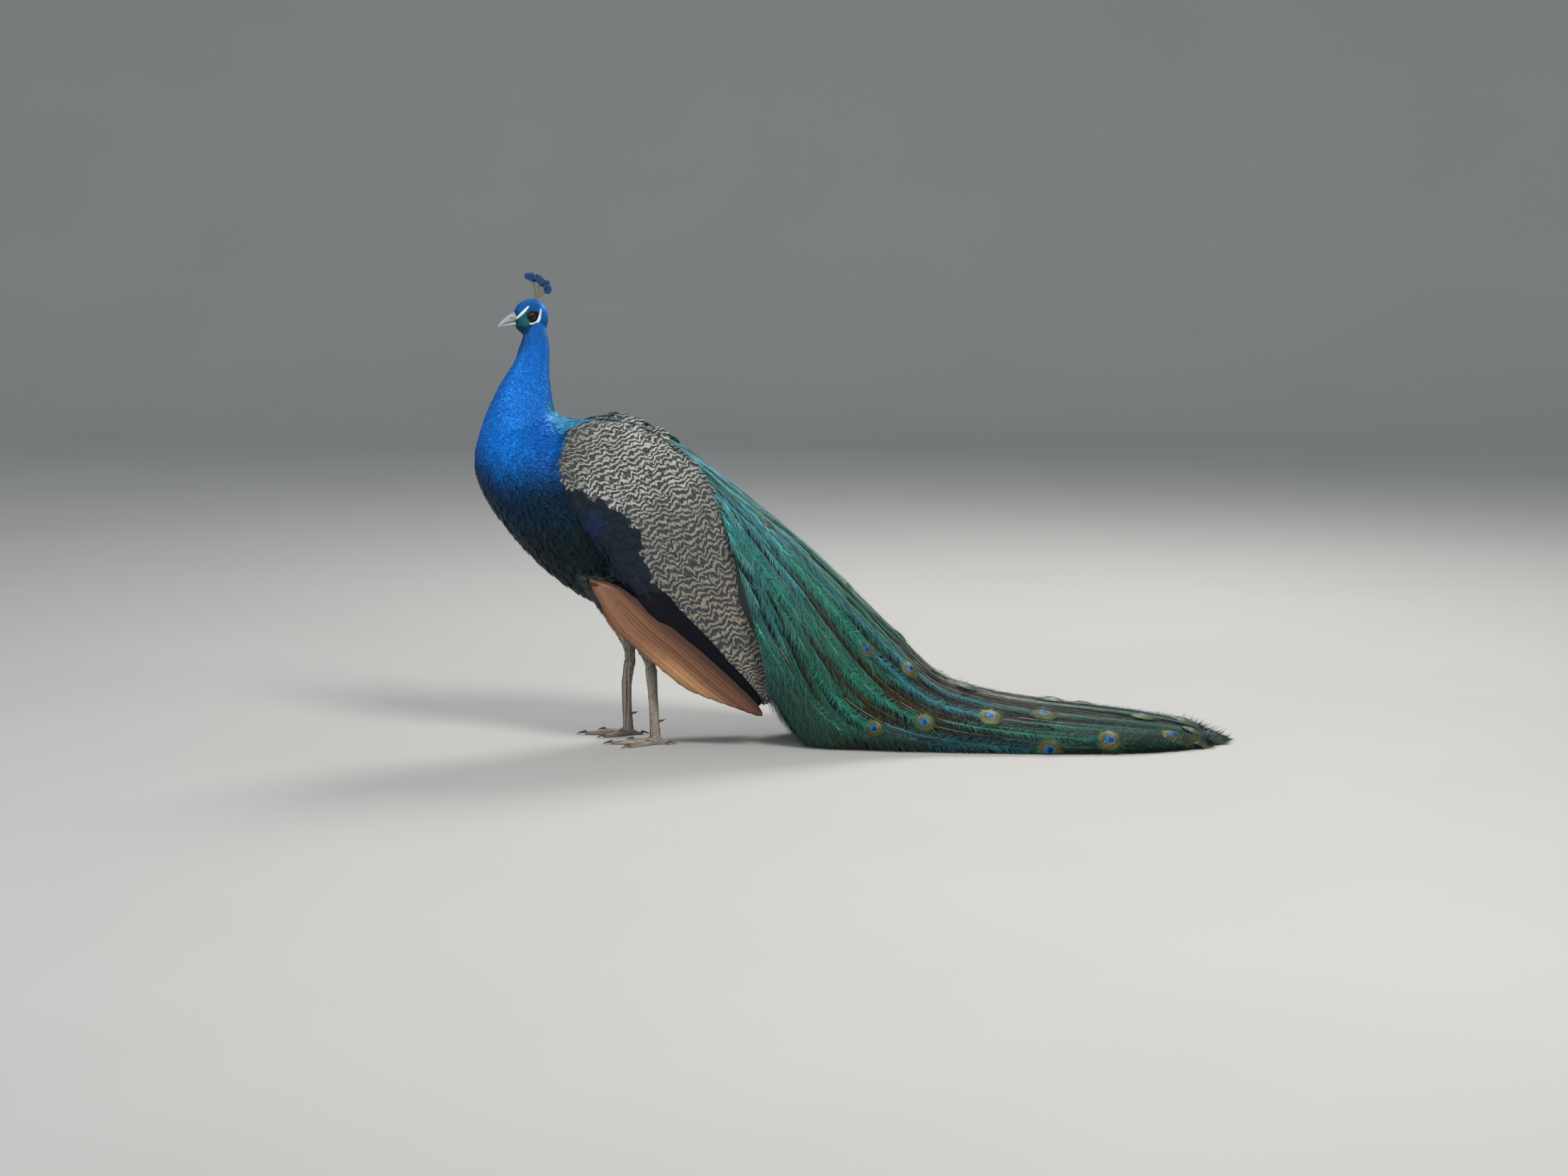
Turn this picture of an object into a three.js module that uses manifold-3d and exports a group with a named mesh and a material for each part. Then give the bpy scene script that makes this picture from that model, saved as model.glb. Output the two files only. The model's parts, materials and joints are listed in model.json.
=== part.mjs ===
// A life-size Indian peacock standing still, with its folded train laid on the floor behind it.
// Millimetres, +Z up. The bird faces -X and its left side is towards -Y.
// Every place below is measured from the floor midway between the feet. The last step moves the
// whole bird so that the origin lies on the floor, under the middle of its box.
import * as THREE from "three";
import { mergeVertices } from "three/addons/utils/BufferGeometryUtils.js";
import Module from "manifold-3d";

const wasm = await Module();
wasm.setup();

// ---- Driving dimensions -------------------------------------------------------------------

const GAP = 0.3; // clearance between touching pieces
const SLIVER = 0.06; // detail smaller than this is cleaned away after a cut
const STANCE = 52; // half the distance between the feet
const STEP = 58; // the right foot stands this much ahead of the left one
const HOCK_HEIGHT = 154;
const TOE_LENGTHS = { inner: 60, middle: 88, outer: 66, hind: 29 };
const CLAW_LENGTH = 17;
const SPUR_LENGTH = 19;

const EYE_RADIUS = 7.2;
const EYE_OUT = 14.8; // eye centre from the middle of the head
const HEAD_AT = [-236, 0, 833]; // point midway between the eyes
const HEAD_PITCH = -4; // degrees, bill down
const HEAD_YAW = 20; // degrees, towards the bird's left

const CREST_FEATHERS = 9;
const CREST_LENGTH = 54;
const CREST_ROOT = [-14, 29]; // ahead of and above the eyes
const CREST_FAN = [79, 153]; // degrees from straight ahead

const TRAIN_CUTS = [0, 0.36, 0.66, 1]; // where the train is parted, as shares of its stations
const TIP_FEATHERS = 7; // feather ends that spread past the train's last section

// ---- Station tables: each row is one section, and the shapes run smoothly between the rows ----

// Neck and trunk: [ventral x, z, dorsal x, z, half width].
const BODY = [
  [-238, 812, -208, 822, 19],
  [-246, 782, -200, 793, 23],
  [-261, 749, -197, 764, 28],
  [-289, 710, -198, 726, 37],
  [-318, 655, -193, 682, 50],
  [-338, 604, -184, 643, 66],
  [-350, 546, -142, 631, 84],
  [-332, 484, -90, 636, 97],
  [-288, 418, -34, 628, 103],
  [-230, 352, 24, 603, 103],
  [-165, 298, 76, 564, 96],
  [-98, 262, 120, 514, 86],
  [-28, 243, 156, 458, 70],
  [46, 240, 184, 404, 52],
  [104, 250, 200, 356, 34],
];
const NECK_SHARE = 5 / 14; // the neck ends at the sixth row

// Head, ahead of the eyes: [forward, low, high, half width].
const HEAD = [
  [-37, -12, 6, 7],
  [-33, -25, 17, 15],
  [-22, -35, 27.5, 19],
  [-8, -38, 32.5, 20],
  [6, -36, 31, 18.6],
  [18, -30, 26, 15.2],
  [26, -23, 18.5, 11.6],
  [31, -17, 10, 8],
];
const UPPER_BILL = [
  [16, -10, 11, 8],
  [27, -10.5, 9.6, 8],
  [38, -11.6, 5.6, 6.6],
  [49, -13, -1.2, 4.9],
  [58, -15.6, -9, 2.8],
  [63.5, -19, -16, 0.9],
];
const LOWER_BILL = [
  [14, -18.2, -11, 7.2],
  [28, -18.4, -11.3, 6.4],
  [40, -18.6, -12.5, 4.9],
  [51, -17.9, -14.2, 3],
  [57.5, -17, -15.8, 1.1],
];

// Folded left wing, shoulder to tip: [lower edge x, y, z, upper edge x, y, z, half thickness].
const WING = [
  [-208, -84, 562, -180, -78, 596, 11],
  [-190, -98, 508, -134, -70, 636, 23],
  [-138, -106, 446, -54, -62, 639, 28],
  [-92, -108, 372, 30, -66, 604, 27],
  [-52, -106, 312, 98, -74, 541, 23],
  [4, -102, 256, 144, -80, 458, 18],
  [72, -96, 196, 178, -82, 350, 13],
  [140, -90, 138, 208, -82, 244, 9],
  [190, -84, 98, 230, -80, 144, 5],
  [216, -80, 84, 232, -79, 102, 2.4],
];
// Rufous flight feathers that stick out below the left wing, in the same columns.
const PRIMARIES = [
  [-126, -104, 300, -116, -103, 330, 2.5],
  [-76, -107, 250, -62, -105, 312, 4],
  [6, -106, 178, 14, -104, 252, 4.5],
  [58, -102, 134, 76, -102, 200, 4],
  [108, -97, 95, 140, -97, 142, 3.5],
  [162, -92, 66, 190, -91, 93, 3],
  [206, -88, 48, 216, -87, 62, 2],
];

// Left leg: [x, y, z, half length, half width] of each level section.
const THIGH = [
  [-98, -56, 340, 58, 40],
  [-66, -58, 278, 50, 38],
  [-36, -57, 226, 34, 29],
  [-14, -54, 186, 19, 17.5],
  [-4, -STANCE, HOCK_HEIGHT, 12, 10.8],
];
const SHANK = [
  [-4, -STANCE, HOCK_HEIGHT + 6, 11, 9.4],
  [-2, -STANCE, HOCK_HEIGHT - 12, 10.4, 8.6],
  [1, -STANCE, 108, 8.4, 6.8],
  [3, -STANCE, 62, 8.1, 6.4],
  [5, -STANCE, 26, 9, 7.4],
  [6, -STANCE, 9, 10, 8.8],
];

// Tail feathers under the train: [lower x, z, upper x, z, half width].
const TAIL = [
  [84, 316, 108, 338, 30],
  [130, 240, 158, 262, 52],
  [186, 150, 214, 168, 74],
  [244, 60, 266, 76, 92],
  [278, 8, 296, 20, 96],
];
// Train: [lower x, z, upper x, z, half width, share of the height at which it is widest].
const TRAIN = [
  [-14, 556, 2, 612, 44, 0.45],
  [24, 440, 70, 577, 84, 0.45],
  [84, 310, 161, 507, 104, 0.44],
  [148, 200, 255, 431, 118, 0.42],
  [216, 92, 346, 348, 128, 0.38],
  [292, 2, 430, 265, 138, 0.32],
  [372, -4, 503, 192, 147, 0.26],
  [470, -4, 568, 134, 156, 0.22],
  [580, -4, 648, 104, 164, 0.19],
  [700, -4, 740, 86, 170, 0.17],
  [820, -4, 840, 73, 172, 0.16],
  [930, -4, 940, 60, 160, 0.16],
  [1010, -4, 1016, 46, 132, 0.16],
  [1060, -3, 1062, 32, 102, 0.2],
  [1084, 0, 1083, 16, 72, 0.3],
];
// Feather ends past the train: [distance from the root, half width, half thickness].
const TIP = [
  [-60, 18, 5],
  [0, 28, 6],
  [44, 25, 4.5],
  [67, 14, 2.5],
  [75, 4, 1],
];

const SIDES = { body: 22, head: 18, wing: 12, train: 20, limb: 8, small: 6, bill: 10 };

// ---- Shapes -------------------------------------------------------------------------------

// The row at share t of a station table, by a curve that passes through every row.
function rowAt(rows, t) {
  const at = Math.min(Math.max(t, 0), 1) * (rows.length - 1);
  const i = Math.min(Math.floor(at), rows.length - 2);
  const f = at - i;
  const pick = (k) => rows[Math.min(Math.max(k, 0), rows.length - 1)];
  const [p, q, r, s] = [pick(i - 1), pick(i), pick(i + 1), pick(i + 2)];
  return q.map(
    (v, c) =>
      v + 0.5 * f * (r[c] - p[c] + f * (2 * p[c] - 5 * v + 4 * r[c] - s[c] + f * (3 * (v - r[c]) + s[c] - p[c]))),
  );
}

// Rounds a sine or cosine towards a square section; 2 leaves an ellipse.
const squared = (value, power) => Math.sign(value) * Math.abs(value) ** (2 / power);

// One ring of points through the edges low and high, side being its half thickness as a vector.
function ring(low, high, side, { sides, share = 0.5, power = 2, grow = 0 }) {
  const centre = low.clone().lerp(high, share);
  const up = high.clone().sub(centre);
  const down = low.clone().sub(centre);
  for (const arm of [up, down, side]) arm.setLength(arm.length() + grow);
  return Array.from({ length: sides }, (_, k) => {
    const turn = (2 * Math.PI * k) / sides;
    const rise = squared(Math.cos(turn), power);
    return centre
      .clone()
      .addScaledVector(rise > 0 ? up : down, Math.abs(rise))
      .addScaledVector(side, squared(Math.sin(turn), power));
  });
}

const middleOf = (points) =>
  points.reduce((sum, p) => sum.add(p), new THREE.Vector3()).divideScalar(points.length);

// Moves an end ring away from its neighbour by a distance.
function pushEnd(end, next, by) {
  const out = middleOf(end).sub(middleOf(next)).setLength(by);
  end.forEach((p) => p.add(out));
}

// A closed solid through the rings, with a fan of faces over each end.
function loft(rings, grow = 0) {
  pushEnd(rings[0], rings[1], grow);
  pushEnd(rings.at(-1), rings.at(-2), grow);
  const n = rings[0].length;
  const points = [...rings.flat(), middleOf(rings[0]), middleOf(rings.at(-1))];
  const lastRing = (rings.length - 1) * n;
  const faces = [];
  for (let k = 0; k < n; k++) {
    const next = (k + 1) % n;
    for (let r = 0; r < lastRing; r += n) {
      faces.push(r + k, r + next, r + n + next, r + k, r + n + next, r + n + k);
    }
    faces.push(points.length - 2, next, k, points.length - 1, lastRing + k, lastRing + next);
  }
  const geometry = new THREE.BufferGeometry().setFromPoints(points);
  return solidOf(geometry.setIndex(faces));
}

// A manifold-3d solid from a closed geometry, turned the right way round.
function solidOf(geometry) {
  const bare = geometry.clone();
  bare.deleteAttribute("normal");
  bare.deleteAttribute("uv");
  const merged = mergeVertices(bare, 1e-4);
  const build = (triVerts) =>
    new wasm.Manifold(
      new wasm.Mesh({ numProp: 3, vertProperties: merged.attributes.position.array, triVerts }),
    );
  const faces = new Uint32Array(merged.index.array);
  const made = build(faces);
  return made.volume() > 0 ? made : build(faces.reverse());
}

// The largest body of a solid, so that a cut leaves no slivers.
const largest = (solid) =>
  solid.decompose().reduce((best, body) => (body.volume() > best.volume() ? body : best));

const cut = (solid, ...others) =>
  largest(others.reduce((left, other) => left.subtract(other), solid)).simplify(SLIVER);

const join = (solids) => solids.reduce((all, solid) => all.add(solid));

// Samples a table into rings: count sections from share t0 to t1, each made by section(row).
const rings = (rows, count, section, t0 = 0, t1 = 1) =>
  Array.from({ length: count }, (_, i) => section(rowAt(rows, t0 + ((t1 - t0) * i) / (count - 1))));

// A solid symmetrical about the bird's middle plane, from [low x, z, high x, z, half width, share].
function midlineSolid(rows, count, { t0 = 0, t1 = 1, grow = 0, ...shape }) {
  const section = ([ax, az, bx, bz, w, share = 0.5]) =>
    ring(new THREE.Vector3(ax, 0, az), new THREE.Vector3(bx, 0, bz), new THREE.Vector3(0, w, 0), {
      share,
      grow,
      ...shape,
    });
  return loft(rings(rows, count, section, t0, t1), grow);
}

// A solid between two edge lines, thick across the sheet that they span.
function bladeSolid(rows, count, { side, sides, grow = 0 }) {
  const ends = (row) => [
    new THREE.Vector3(row[0], row[1] * side, row[2]),
    new THREE.Vector3(row[3], row[4] * side, row[5]),
  ];
  const along = middleOf(ends(rows.at(-1))).sub(middleOf(ends(rows[0])));
  const section = (row) => {
    const [low, high] = ends(row);
    const across = high.clone().sub(low).cross(along).setLength(row[6]);
    return ring(low, high, across, { sides, grow });
  };
  return loft(rings(rows, count, section), grow);
}

// How far a leg has stepped ahead at a height: nothing at the hip, the whole step at the foot.
function stepAt(side, height) {
  const hip = THIGH[0][2];
  return side < 0 ? STEP * THREE.MathUtils.clamp((hip - height) / (hip - 100), 0, 1) : 0;
}

// A limb of level sections from [x, y, z, half length, half width].
function limbSolid(rows, count, { side, sides, grow = 0 }) {
  const section = ([x, y, z, length, width]) => {
    const middle = x - stepAt(side, z);
    return ring(
      new THREE.Vector3(middle - length, y * side, z),
      new THREE.Vector3(middle + length, y * side, z),
      new THREE.Vector3(0, width, 0),
      { sides, grow },
    );
  };
  return loft(rings(rows, count, section), grow);
}

// ---- Head -----------------------------------------------------------------------------------

const radians = THREE.MathUtils.degToRad;

// From head coordinates (forward, left, up, from between the eyes) to the bird's own.
const headFrame = new THREE.Matrix4()
  .makeTranslation(...HEAD_AT)
  .multiply(new THREE.Matrix4().makeRotationZ(radians(HEAD_YAW)))
  .multiply(new THREE.Matrix4().makeRotationY(radians(HEAD_PITCH) + Math.PI))
  .multiply(new THREE.Matrix4().makeScale(1, -1, -1));
const inHead = (forward, left, up) => new THREE.Vector3(forward, left, up).applyMatrix4(headFrame);

function headPiece(rows, count, { sides, power = 2, grow = 0 }) {
  const section = ([forward, low, high, width]) =>
    ring(
      inHead(forward, 0, low),
      inHead(forward, 0, high),
      inHead(forward, width, 0).sub(inHead(forward, 0, 0)),
      { sides, power, grow },
    );
  return loft(rings(rows, count, section), grow);
}

// One eye, side being 1 for the left and -1 for the right.
function eyeSolid(side, grow = 0) {
  const ball = new THREE.SphereGeometry(EYE_RADIUS + grow, 12, 8).rotateX(Math.PI / 2);
  return solidOf(ball.translate(...inHead(0, EYE_OUT * side, 0)));
}

// A fan of bare shafts, each with a small webbed tip.
function crestSolid() {
  const feathers = Array.from({ length: CREST_FEATHERS }, (_, i) => {
    const share = i / (CREST_FEATHERS - 1);
    const lean = radians(THREE.MathUtils.lerp(...CREST_FAN, share));
    const length = CREST_LENGTH * (1 - 0.28 * share);
    const lateral = 0.8 * (i % 2 ? 1 : -1);
    // [distance from the root, half width in the fan, half thickness]
    const rows = [
      [-5, 1.1, 0.9],
      [length * 0.74, 0.9, 0.8],
      [length * 0.92, 4.2, 0.9],
      [length, 1.4, 0.6],
    ];
    const section = ([far, width, thick]) => {
      const point = (sideways) =>
        inHead(
          CREST_ROOT[0] + far * Math.cos(lean) - sideways * Math.sin(lean),
          (lateral * far) / length,
          CREST_ROOT[1] + far * Math.sin(lean) + sideways * Math.cos(lean),
        );
      const across = inHead(0, thick, 0).sub(inHead(0, 0, 0));
      return ring(point(-width), point(width), across, { sides: 5 });
    };
    return loft(rows.map(section));
  });
  return join(feathers);
}

// ---- Feet -----------------------------------------------------------------------------------

// Toes of a foot: length, heading in degrees from straight ahead (outwards is positive), girth.
const TOES = {
  middle: { length: TOE_LENGTHS.middle, heading: 2, girth: 6.4 },
  inner: { length: TOE_LENGTHS.inner, heading: -36, girth: 5.8 },
  outer: { length: TOE_LENGTHS.outer, heading: 38, girth: 5.8 },
  hind: { length: TOE_LENGTHS.hind, heading: 172, girth: 4.6 },
};
const FOOT_AT = [6, -STANCE]; // where the toes meet, for the left foot
const SOLE_CUT = 1.4; // depth cut off below the toes, which leaves their flats

// The point far along a toe, at a height.
function onToe({ heading }, side, far, sideways, height) {
  const turn = radians(heading);
  const x = -far * Math.cos(turn) + sideways * Math.sin(turn);
  const y = -far * Math.sin(turn) - sideways * Math.cos(turn);
  const foot = FOOT_AT[0] - stepAt(side, 0);
  return new THREE.Vector3(foot + x, side * (FOOT_AT[1] + y), height);
}

// A toe with a swelling at each joint, sunk a little below the floor.
function toeSolid(toe, side, grow = 0) {
  const count = 6;
  const section = (i) => {
    const share = i / (count - 1);
    const swell = 1 + 0.08 * Math.cos(share * 6 * Math.PI);
    const radius = toe.girth * (1 - 0.36 * share) * swell * (i === count - 1 ? 0.72 : 1);
    const far = toe.length * share;
    const lift = Math.max(0, 5 - far * 0.35);
    return ring(
      onToe(toe, side, far, 0, -SOLE_CUT),
      onToe(toe, side, far, 0, 2 * radius * 0.92 - SOLE_CUT + lift),
      onToe(toe, side, far, radius, 0).sub(onToe(toe, side, far, 0, 0)),
      { sides: SIDES.small, grow },
    );
  };
  return loft(Array.from({ length: count }, (_, i) => section(i)), grow);
}

// A claw that curves down from the end of its toe.
function clawSolid(toe, side) {
  const reach = CLAW_LENGTH * (toe === TOES.hind ? 0.8 : 1);
  const section = (share) => {
    const far = toe.length - 4 + (reach + 4) * share;
    const half = 3.1 * (1 - share) ** 0.8 + 0.45;
    const height = 5.4 * (1 - share ** 2) + 0.9;
    return ring(
      onToe(toe, side, far, 0, height - half),
      onToe(toe, side, far, 0, height + half),
      onToe(toe, side, far, half * 0.75, 0).sub(onToe(toe, side, far, 0, 0)),
      { sides: SIDES.small },
    );
  };
  const claw = loft([0, 0.25, 0.5, 0.75, 1].map(section));
  return claw.intersect(aboveFloor(0.2));
}

// A block of space from a height upwards.
function aboveFloor(height) {
  const size = 4000;
  return solidOf(new THREE.BoxGeometry(size, size, size).translate(0, 0, height + size / 2));
}

// The spur on the back of a shank.
function spurSolid(side) {
  const rows = [
    [0, 46, 3.4],
    [SPUR_LENGTH * 0.4, 45, 2.8],
    [SPUR_LENGTH * 0.75, 46.5, 1.7],
    [SPUR_LENGTH, 49, 0.5],
  ];
  const section = ([out, height, half]) => {
    const at = new THREE.Vector3(7 + out - stepAt(side, 46), side * (-STANCE + 3 + out * 0.3), height);
    return ring(
      at.clone().setZ(height - half),
      at.clone().setZ(height + half),
      new THREE.Vector3(0, half, 0),
      { sides: SIDES.small },
    );
  };
  return loft(rows.map(section));
}

// ---- Train --------------------------------------------------------------------------------

// One length of the train between two shares of its stations.
function trainLength(t0, t1) {
  const half = GAP / 2 / 1500; // half the thin cut between two lengths, as a share of the train
  const length = midlineSolid(TRAIN, 9, {
    sides: SIDES.train,
    power: 2.2,
    t0: t0 + (t0 > 0 ? half : 0),
    t1: t1 - (t1 < 1 ? half : 0),
  });
  return length.intersect(aboveFloor(0));
}

// The feather ends that fan out on the floor past the last length.
function tipFeathers() {
  const feathers = Array.from({ length: TIP_FEATHERS }, (_, i) => {
    const share = (2 * i) / (TIP_FEATHERS - 1) - 1;
    const turn = radians(17 * share);
    const root = new THREE.Vector3(1052 - 150 * share ** 2, 126 * share, 8 + 12 * (1 - share ** 2));
    const reach = i % 2 ? 1.12 : 0.96;
    const section = ([far, width, thick]) => {
      const along = new THREE.Vector3(Math.cos(turn), Math.sin(turn), -0.16).multiplyScalar(far * reach);
      const at = root.clone().add(along);
      at.z = Math.max(at.z, thick + 0.4);
      const half = new THREE.Vector3(-Math.sin(turn), Math.cos(turn), 0).multiplyScalar(width);
      const across = new THREE.Vector3(0, 0, thick);
      return ring(at.clone().sub(half), at.clone().add(half), across, { sides: 6 });
    };
    return loft(TIP.map(section));
  });
  return join(feathers).intersect(aboveFloor(0));
}

// ---- Assembly -------------------------------------------------------------------------------

const bird = new THREE.Group();

const COLOURS = {
  blue: [0x1b4fc0, 0.45],
  crown: [0x1f5cb8, 0.5],
  body: [0x123a44, 0.55],
  barred: [0xa89c86, 0.75],
  rufous: [0xb8693a, 0.7],
  train: [0x2c6f58, 0.5],
  tail: [0x6d5c49, 0.8],
  thigh: [0xb4a07c, 0.85],
  skin: [0x8c8273, 0.7],
  horn: [0x8f9496, 0.45],
  claw: [0x4c453c, 0.4],
  eye: [0x1c120c, 0.1],
  crest: [0x1c6a80, 0.5],
};

function addNode(name, solid, colour) {
  const { vertProperties, triVerts } = solid.getMesh();
  const geometry = new THREE.BufferGeometry()
    .setAttribute("position", new THREE.BufferAttribute(vertProperties, 3))
    .setIndex(new THREE.BufferAttribute(triVerts, 1));
  geometry.computeVertexNormals();
  const [color, roughness] = COLOURS[colour];
  const mesh = new THREE.Mesh(geometry, new THREE.MeshStandardMaterial({ color, roughness, metalness: 0 }));
  mesh.name = name;
  bird.add(mesh);
}

// The same maker called twice: as the piece itself, and grown by the gap to cut its neighbours.
const bodyShape = { sides: SIDES.body, power: 2.15 };
const trunk = (grow) => midlineSolid(BODY, 15, { ...bodyShape, t0: NECK_SHARE, grow });
const neck = (grow) => midlineSolid(BODY, 9, { ...bodyShape, t1: NECK_SHARE, grow });
const head = (grow) => headPiece(HEAD, 13, { sides: SIDES.head, power: 2.1, grow });
const upperBill = (grow) => headPiece(UPPER_BILL, 8, { sides: SIDES.bill, grow });
const tail = (grow) => midlineSolid(TAIL, 8, { sides: 12, power: 3, grow });
const wing = (side, grow) => bladeSolid(WING, 13, { side, sides: SIDES.wing, grow });
const primaries = (side, grow) => bladeSolid(PRIMARIES, 9, { side, sides: 8, grow });
const thigh = (side, grow) => limbSolid(THIGH, 7, { side, sides: 14, grow });
const shank = (side, grow) => limbSolid(SHANK, 8, { side, sides: SIDES.limb, grow });

const grownTrunk = trunk(GAP);
const grownHead = head(GAP);
const eyes = [1, -1].map((side) => eyeSolid(side, GAP));

addNode("trunk", trunk(0), "body");
addNode("neck", cut(neck(0), grownHead, grownTrunk), "blue");
addNode("head", cut(head(0), ...eyes), "crown");
addNode("bill_upper", cut(upperBill(0), grownHead), "horn");
addNode("bill_lower", cut(headPiece(LOWER_BILL, 6, { sides: SIDES.bill }), grownHead, upperBill(GAP)), "horn");
addNode("crest", cut(crestSolid(), grownHead), "crest");

// The tail and the train are cut by all that they lie on.
const underTail = [grownTrunk];

for (const [label, side] of [["left", 1], ["right", -1]]) {
  const grownNeck = neck(GAP);
  const grownWing = wing(side, GAP);
  const grownThigh = thigh(side, GAP);
  const grownShank = shank(side, GAP);
  underTail.push(grownWing, primaries(side, GAP));

  addNode(`eye_${label}`, eyeSolid(side), "eye");
  addNode(`wing_${label}`, cut(wing(side, 0), grownTrunk, grownNeck), "barred");
  addNode(`primaries_${label}`, cut(primaries(side, 0), grownTrunk, grownWing, grownThigh), "rufous");
  addNode(`thigh_${label}`, cut(thigh(side, 0), grownTrunk, grownWing), "thigh");
  addNode(`shank_${label}`, cut(shank(side, 0), grownThigh), "skin");
  addNode(`spur_${label}`, cut(spurSolid(side), grownShank), "claw");

  const toes = Object.values(TOES);
  const foot = join(toes.map((toe) => toeSolid(toe, side))).intersect(aboveFloor(0));
  addNode(`foot_${label}`, cut(foot, grownShank), "skin");
  const grownToes = join(toes.map((toe) => toeSolid(toe, side, GAP)));
  for (const [toeName, toe] of Object.entries(TOES)) {
    addNode(`claw_${toeName}_${label}`, cut(clawSolid(toe, side), grownToes), "claw");
  }
}

addNode("tail", cut(tail(0).intersect(aboveFloor(0)), ...underTail), "tail");
const underTrain = [...underTail, tail(GAP)];

for (const [i, name] of ["train_root", "train_middle", "train_end"].entries()) {
  const length = trainLength(TRAIN_CUTS[i], TRAIN_CUTS[i + 1]);
  const whole = name === "train_end" ? length.add(tipFeathers()) : length;
  addNode(name, cut(whole, ...underTrain), "train");
}

// Put the origin on the floor under the middle of the whole bird.
const box = new THREE.Box3().setFromObject(bird);
const centre = box.getCenter(new THREE.Vector3());
bird.position.set(-centre.x, -centre.y, -box.min.z);

export default bird;
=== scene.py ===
"""Looks of a standing peacock: one skin, bill, eyes, legs, body feathers, wings, tail and train."""

import json
import logging
import math
from collections.abc import Callable
from dataclasses import dataclass, field
from enum import Enum

import bmesh
import bpy
import numpy as np
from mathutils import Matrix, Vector
from mathutils.bvhtree import BVHTree
from mathutils.kdtree import KDTree

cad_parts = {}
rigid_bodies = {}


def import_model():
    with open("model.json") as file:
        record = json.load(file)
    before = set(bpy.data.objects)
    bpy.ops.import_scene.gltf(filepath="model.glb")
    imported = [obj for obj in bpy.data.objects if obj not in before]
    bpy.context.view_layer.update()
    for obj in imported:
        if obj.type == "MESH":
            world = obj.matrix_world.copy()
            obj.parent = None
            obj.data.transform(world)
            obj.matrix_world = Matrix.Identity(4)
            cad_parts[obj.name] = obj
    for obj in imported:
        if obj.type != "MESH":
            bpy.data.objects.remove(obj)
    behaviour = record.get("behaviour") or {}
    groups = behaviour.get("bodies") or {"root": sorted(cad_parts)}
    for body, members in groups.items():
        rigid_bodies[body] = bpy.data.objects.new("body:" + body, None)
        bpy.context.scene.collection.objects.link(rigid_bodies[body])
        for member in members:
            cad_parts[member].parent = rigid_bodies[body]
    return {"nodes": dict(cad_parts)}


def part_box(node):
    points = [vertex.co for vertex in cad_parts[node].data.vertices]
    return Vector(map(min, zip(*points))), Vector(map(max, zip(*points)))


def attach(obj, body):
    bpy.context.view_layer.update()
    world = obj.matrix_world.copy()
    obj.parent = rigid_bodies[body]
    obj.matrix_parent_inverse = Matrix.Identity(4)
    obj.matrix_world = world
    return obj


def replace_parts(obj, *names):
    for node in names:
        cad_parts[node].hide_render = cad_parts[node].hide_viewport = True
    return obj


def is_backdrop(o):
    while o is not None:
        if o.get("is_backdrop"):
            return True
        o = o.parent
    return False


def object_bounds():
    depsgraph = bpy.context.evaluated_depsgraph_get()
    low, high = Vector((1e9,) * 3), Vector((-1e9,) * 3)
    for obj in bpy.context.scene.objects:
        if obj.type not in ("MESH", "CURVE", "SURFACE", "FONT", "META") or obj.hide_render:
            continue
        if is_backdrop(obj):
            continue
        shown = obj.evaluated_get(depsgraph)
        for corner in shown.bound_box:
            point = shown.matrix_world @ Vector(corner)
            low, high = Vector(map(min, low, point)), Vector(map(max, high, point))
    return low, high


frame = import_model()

LOG = logging.getLogger("peacock")
CAD_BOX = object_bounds()
MM = 0.001
BAKE_PATCH = 0.003  # side of one feather's patch on the bake map
BARB_UNIT = 0.02  # width of the small barb shapes at scale one
FLOOR_GAP = 0.0003  # metres that the lowest barbs stay over the floor
BETWEEN_WINGS = 55.0  # millimetres from the middle within which no wing lies
SENSOR = 36.0  # width of the camera's sensor in millimetres
RIDGE = np.array([-1.0, 0.0, 1.0])  # the three lines of points along a shaft

Array = np.ndarray
Rows = list[tuple[float, ...]]
Colour = tuple[float, float, float]
Piece = bpy.types.Object
Mesh = bpy.types.Mesh
Material = bpy.types.Material
Socket = bpy.types.NodeSocket


# ---- Sizes of the bird, in millimetres from the floor midway between the feet ----------------

HEAD_AT = (-236.0, 0.0, 833.0)
HEAD_YAW = 20.0
HEAD_PITCH = 4.0  # degrees that the bill points down
EYE_OUT = 14.8
EYE_RADIUS = 7.2

# Neck and trunk: ventral x, z, dorsal x, z, half width.
BODY: Rows = [
    (-238, 812, -208, 822, 19),
    (-246, 782, -200, 793, 23),
    (-261, 749, -197, 764, 28),
    (-289, 710, -198, 726, 37),
    (-318, 655, -193, 682, 50),
    (-338, 604, -184, 643, 66),
    (-350, 546, -142, 631, 84),
    (-332, 484, -90, 636, 97),
    (-288, 418, -34, 628, 103),
    (-230, 352, 24, 603, 103),
    (-165, 298, 76, 564, 96),
    (-98, 262, 120, 514, 86),
    (-28, 243, 156, 458, 70),
    (46, 240, 184, 404, 52),
    (104, 250, 200, 356, 34),
]
UPPER_BILL: Rows = [
    (20, -9.2, 9.6, 6.2),
    (28, -10.5, 9.2, 7.7),
    (38, -11.6, 5.6, 6.6),
    (49, -13, -1.2, 4.9),
    (58, -15.6, -9, 2.8),
    (63.5, -19, -16, 0.9),
]
LOWER_BILL: Rows = [
    (17, -14.6, -10.4, 3.0),
    (28, -17.6, -10.0, 5.5),
    (40, -18.4, -11.2, 4.8),
    (51, -17.9, -13.0, 2.9),
    (58.5, -17.2, -15.2, 1.0),
]
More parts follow.
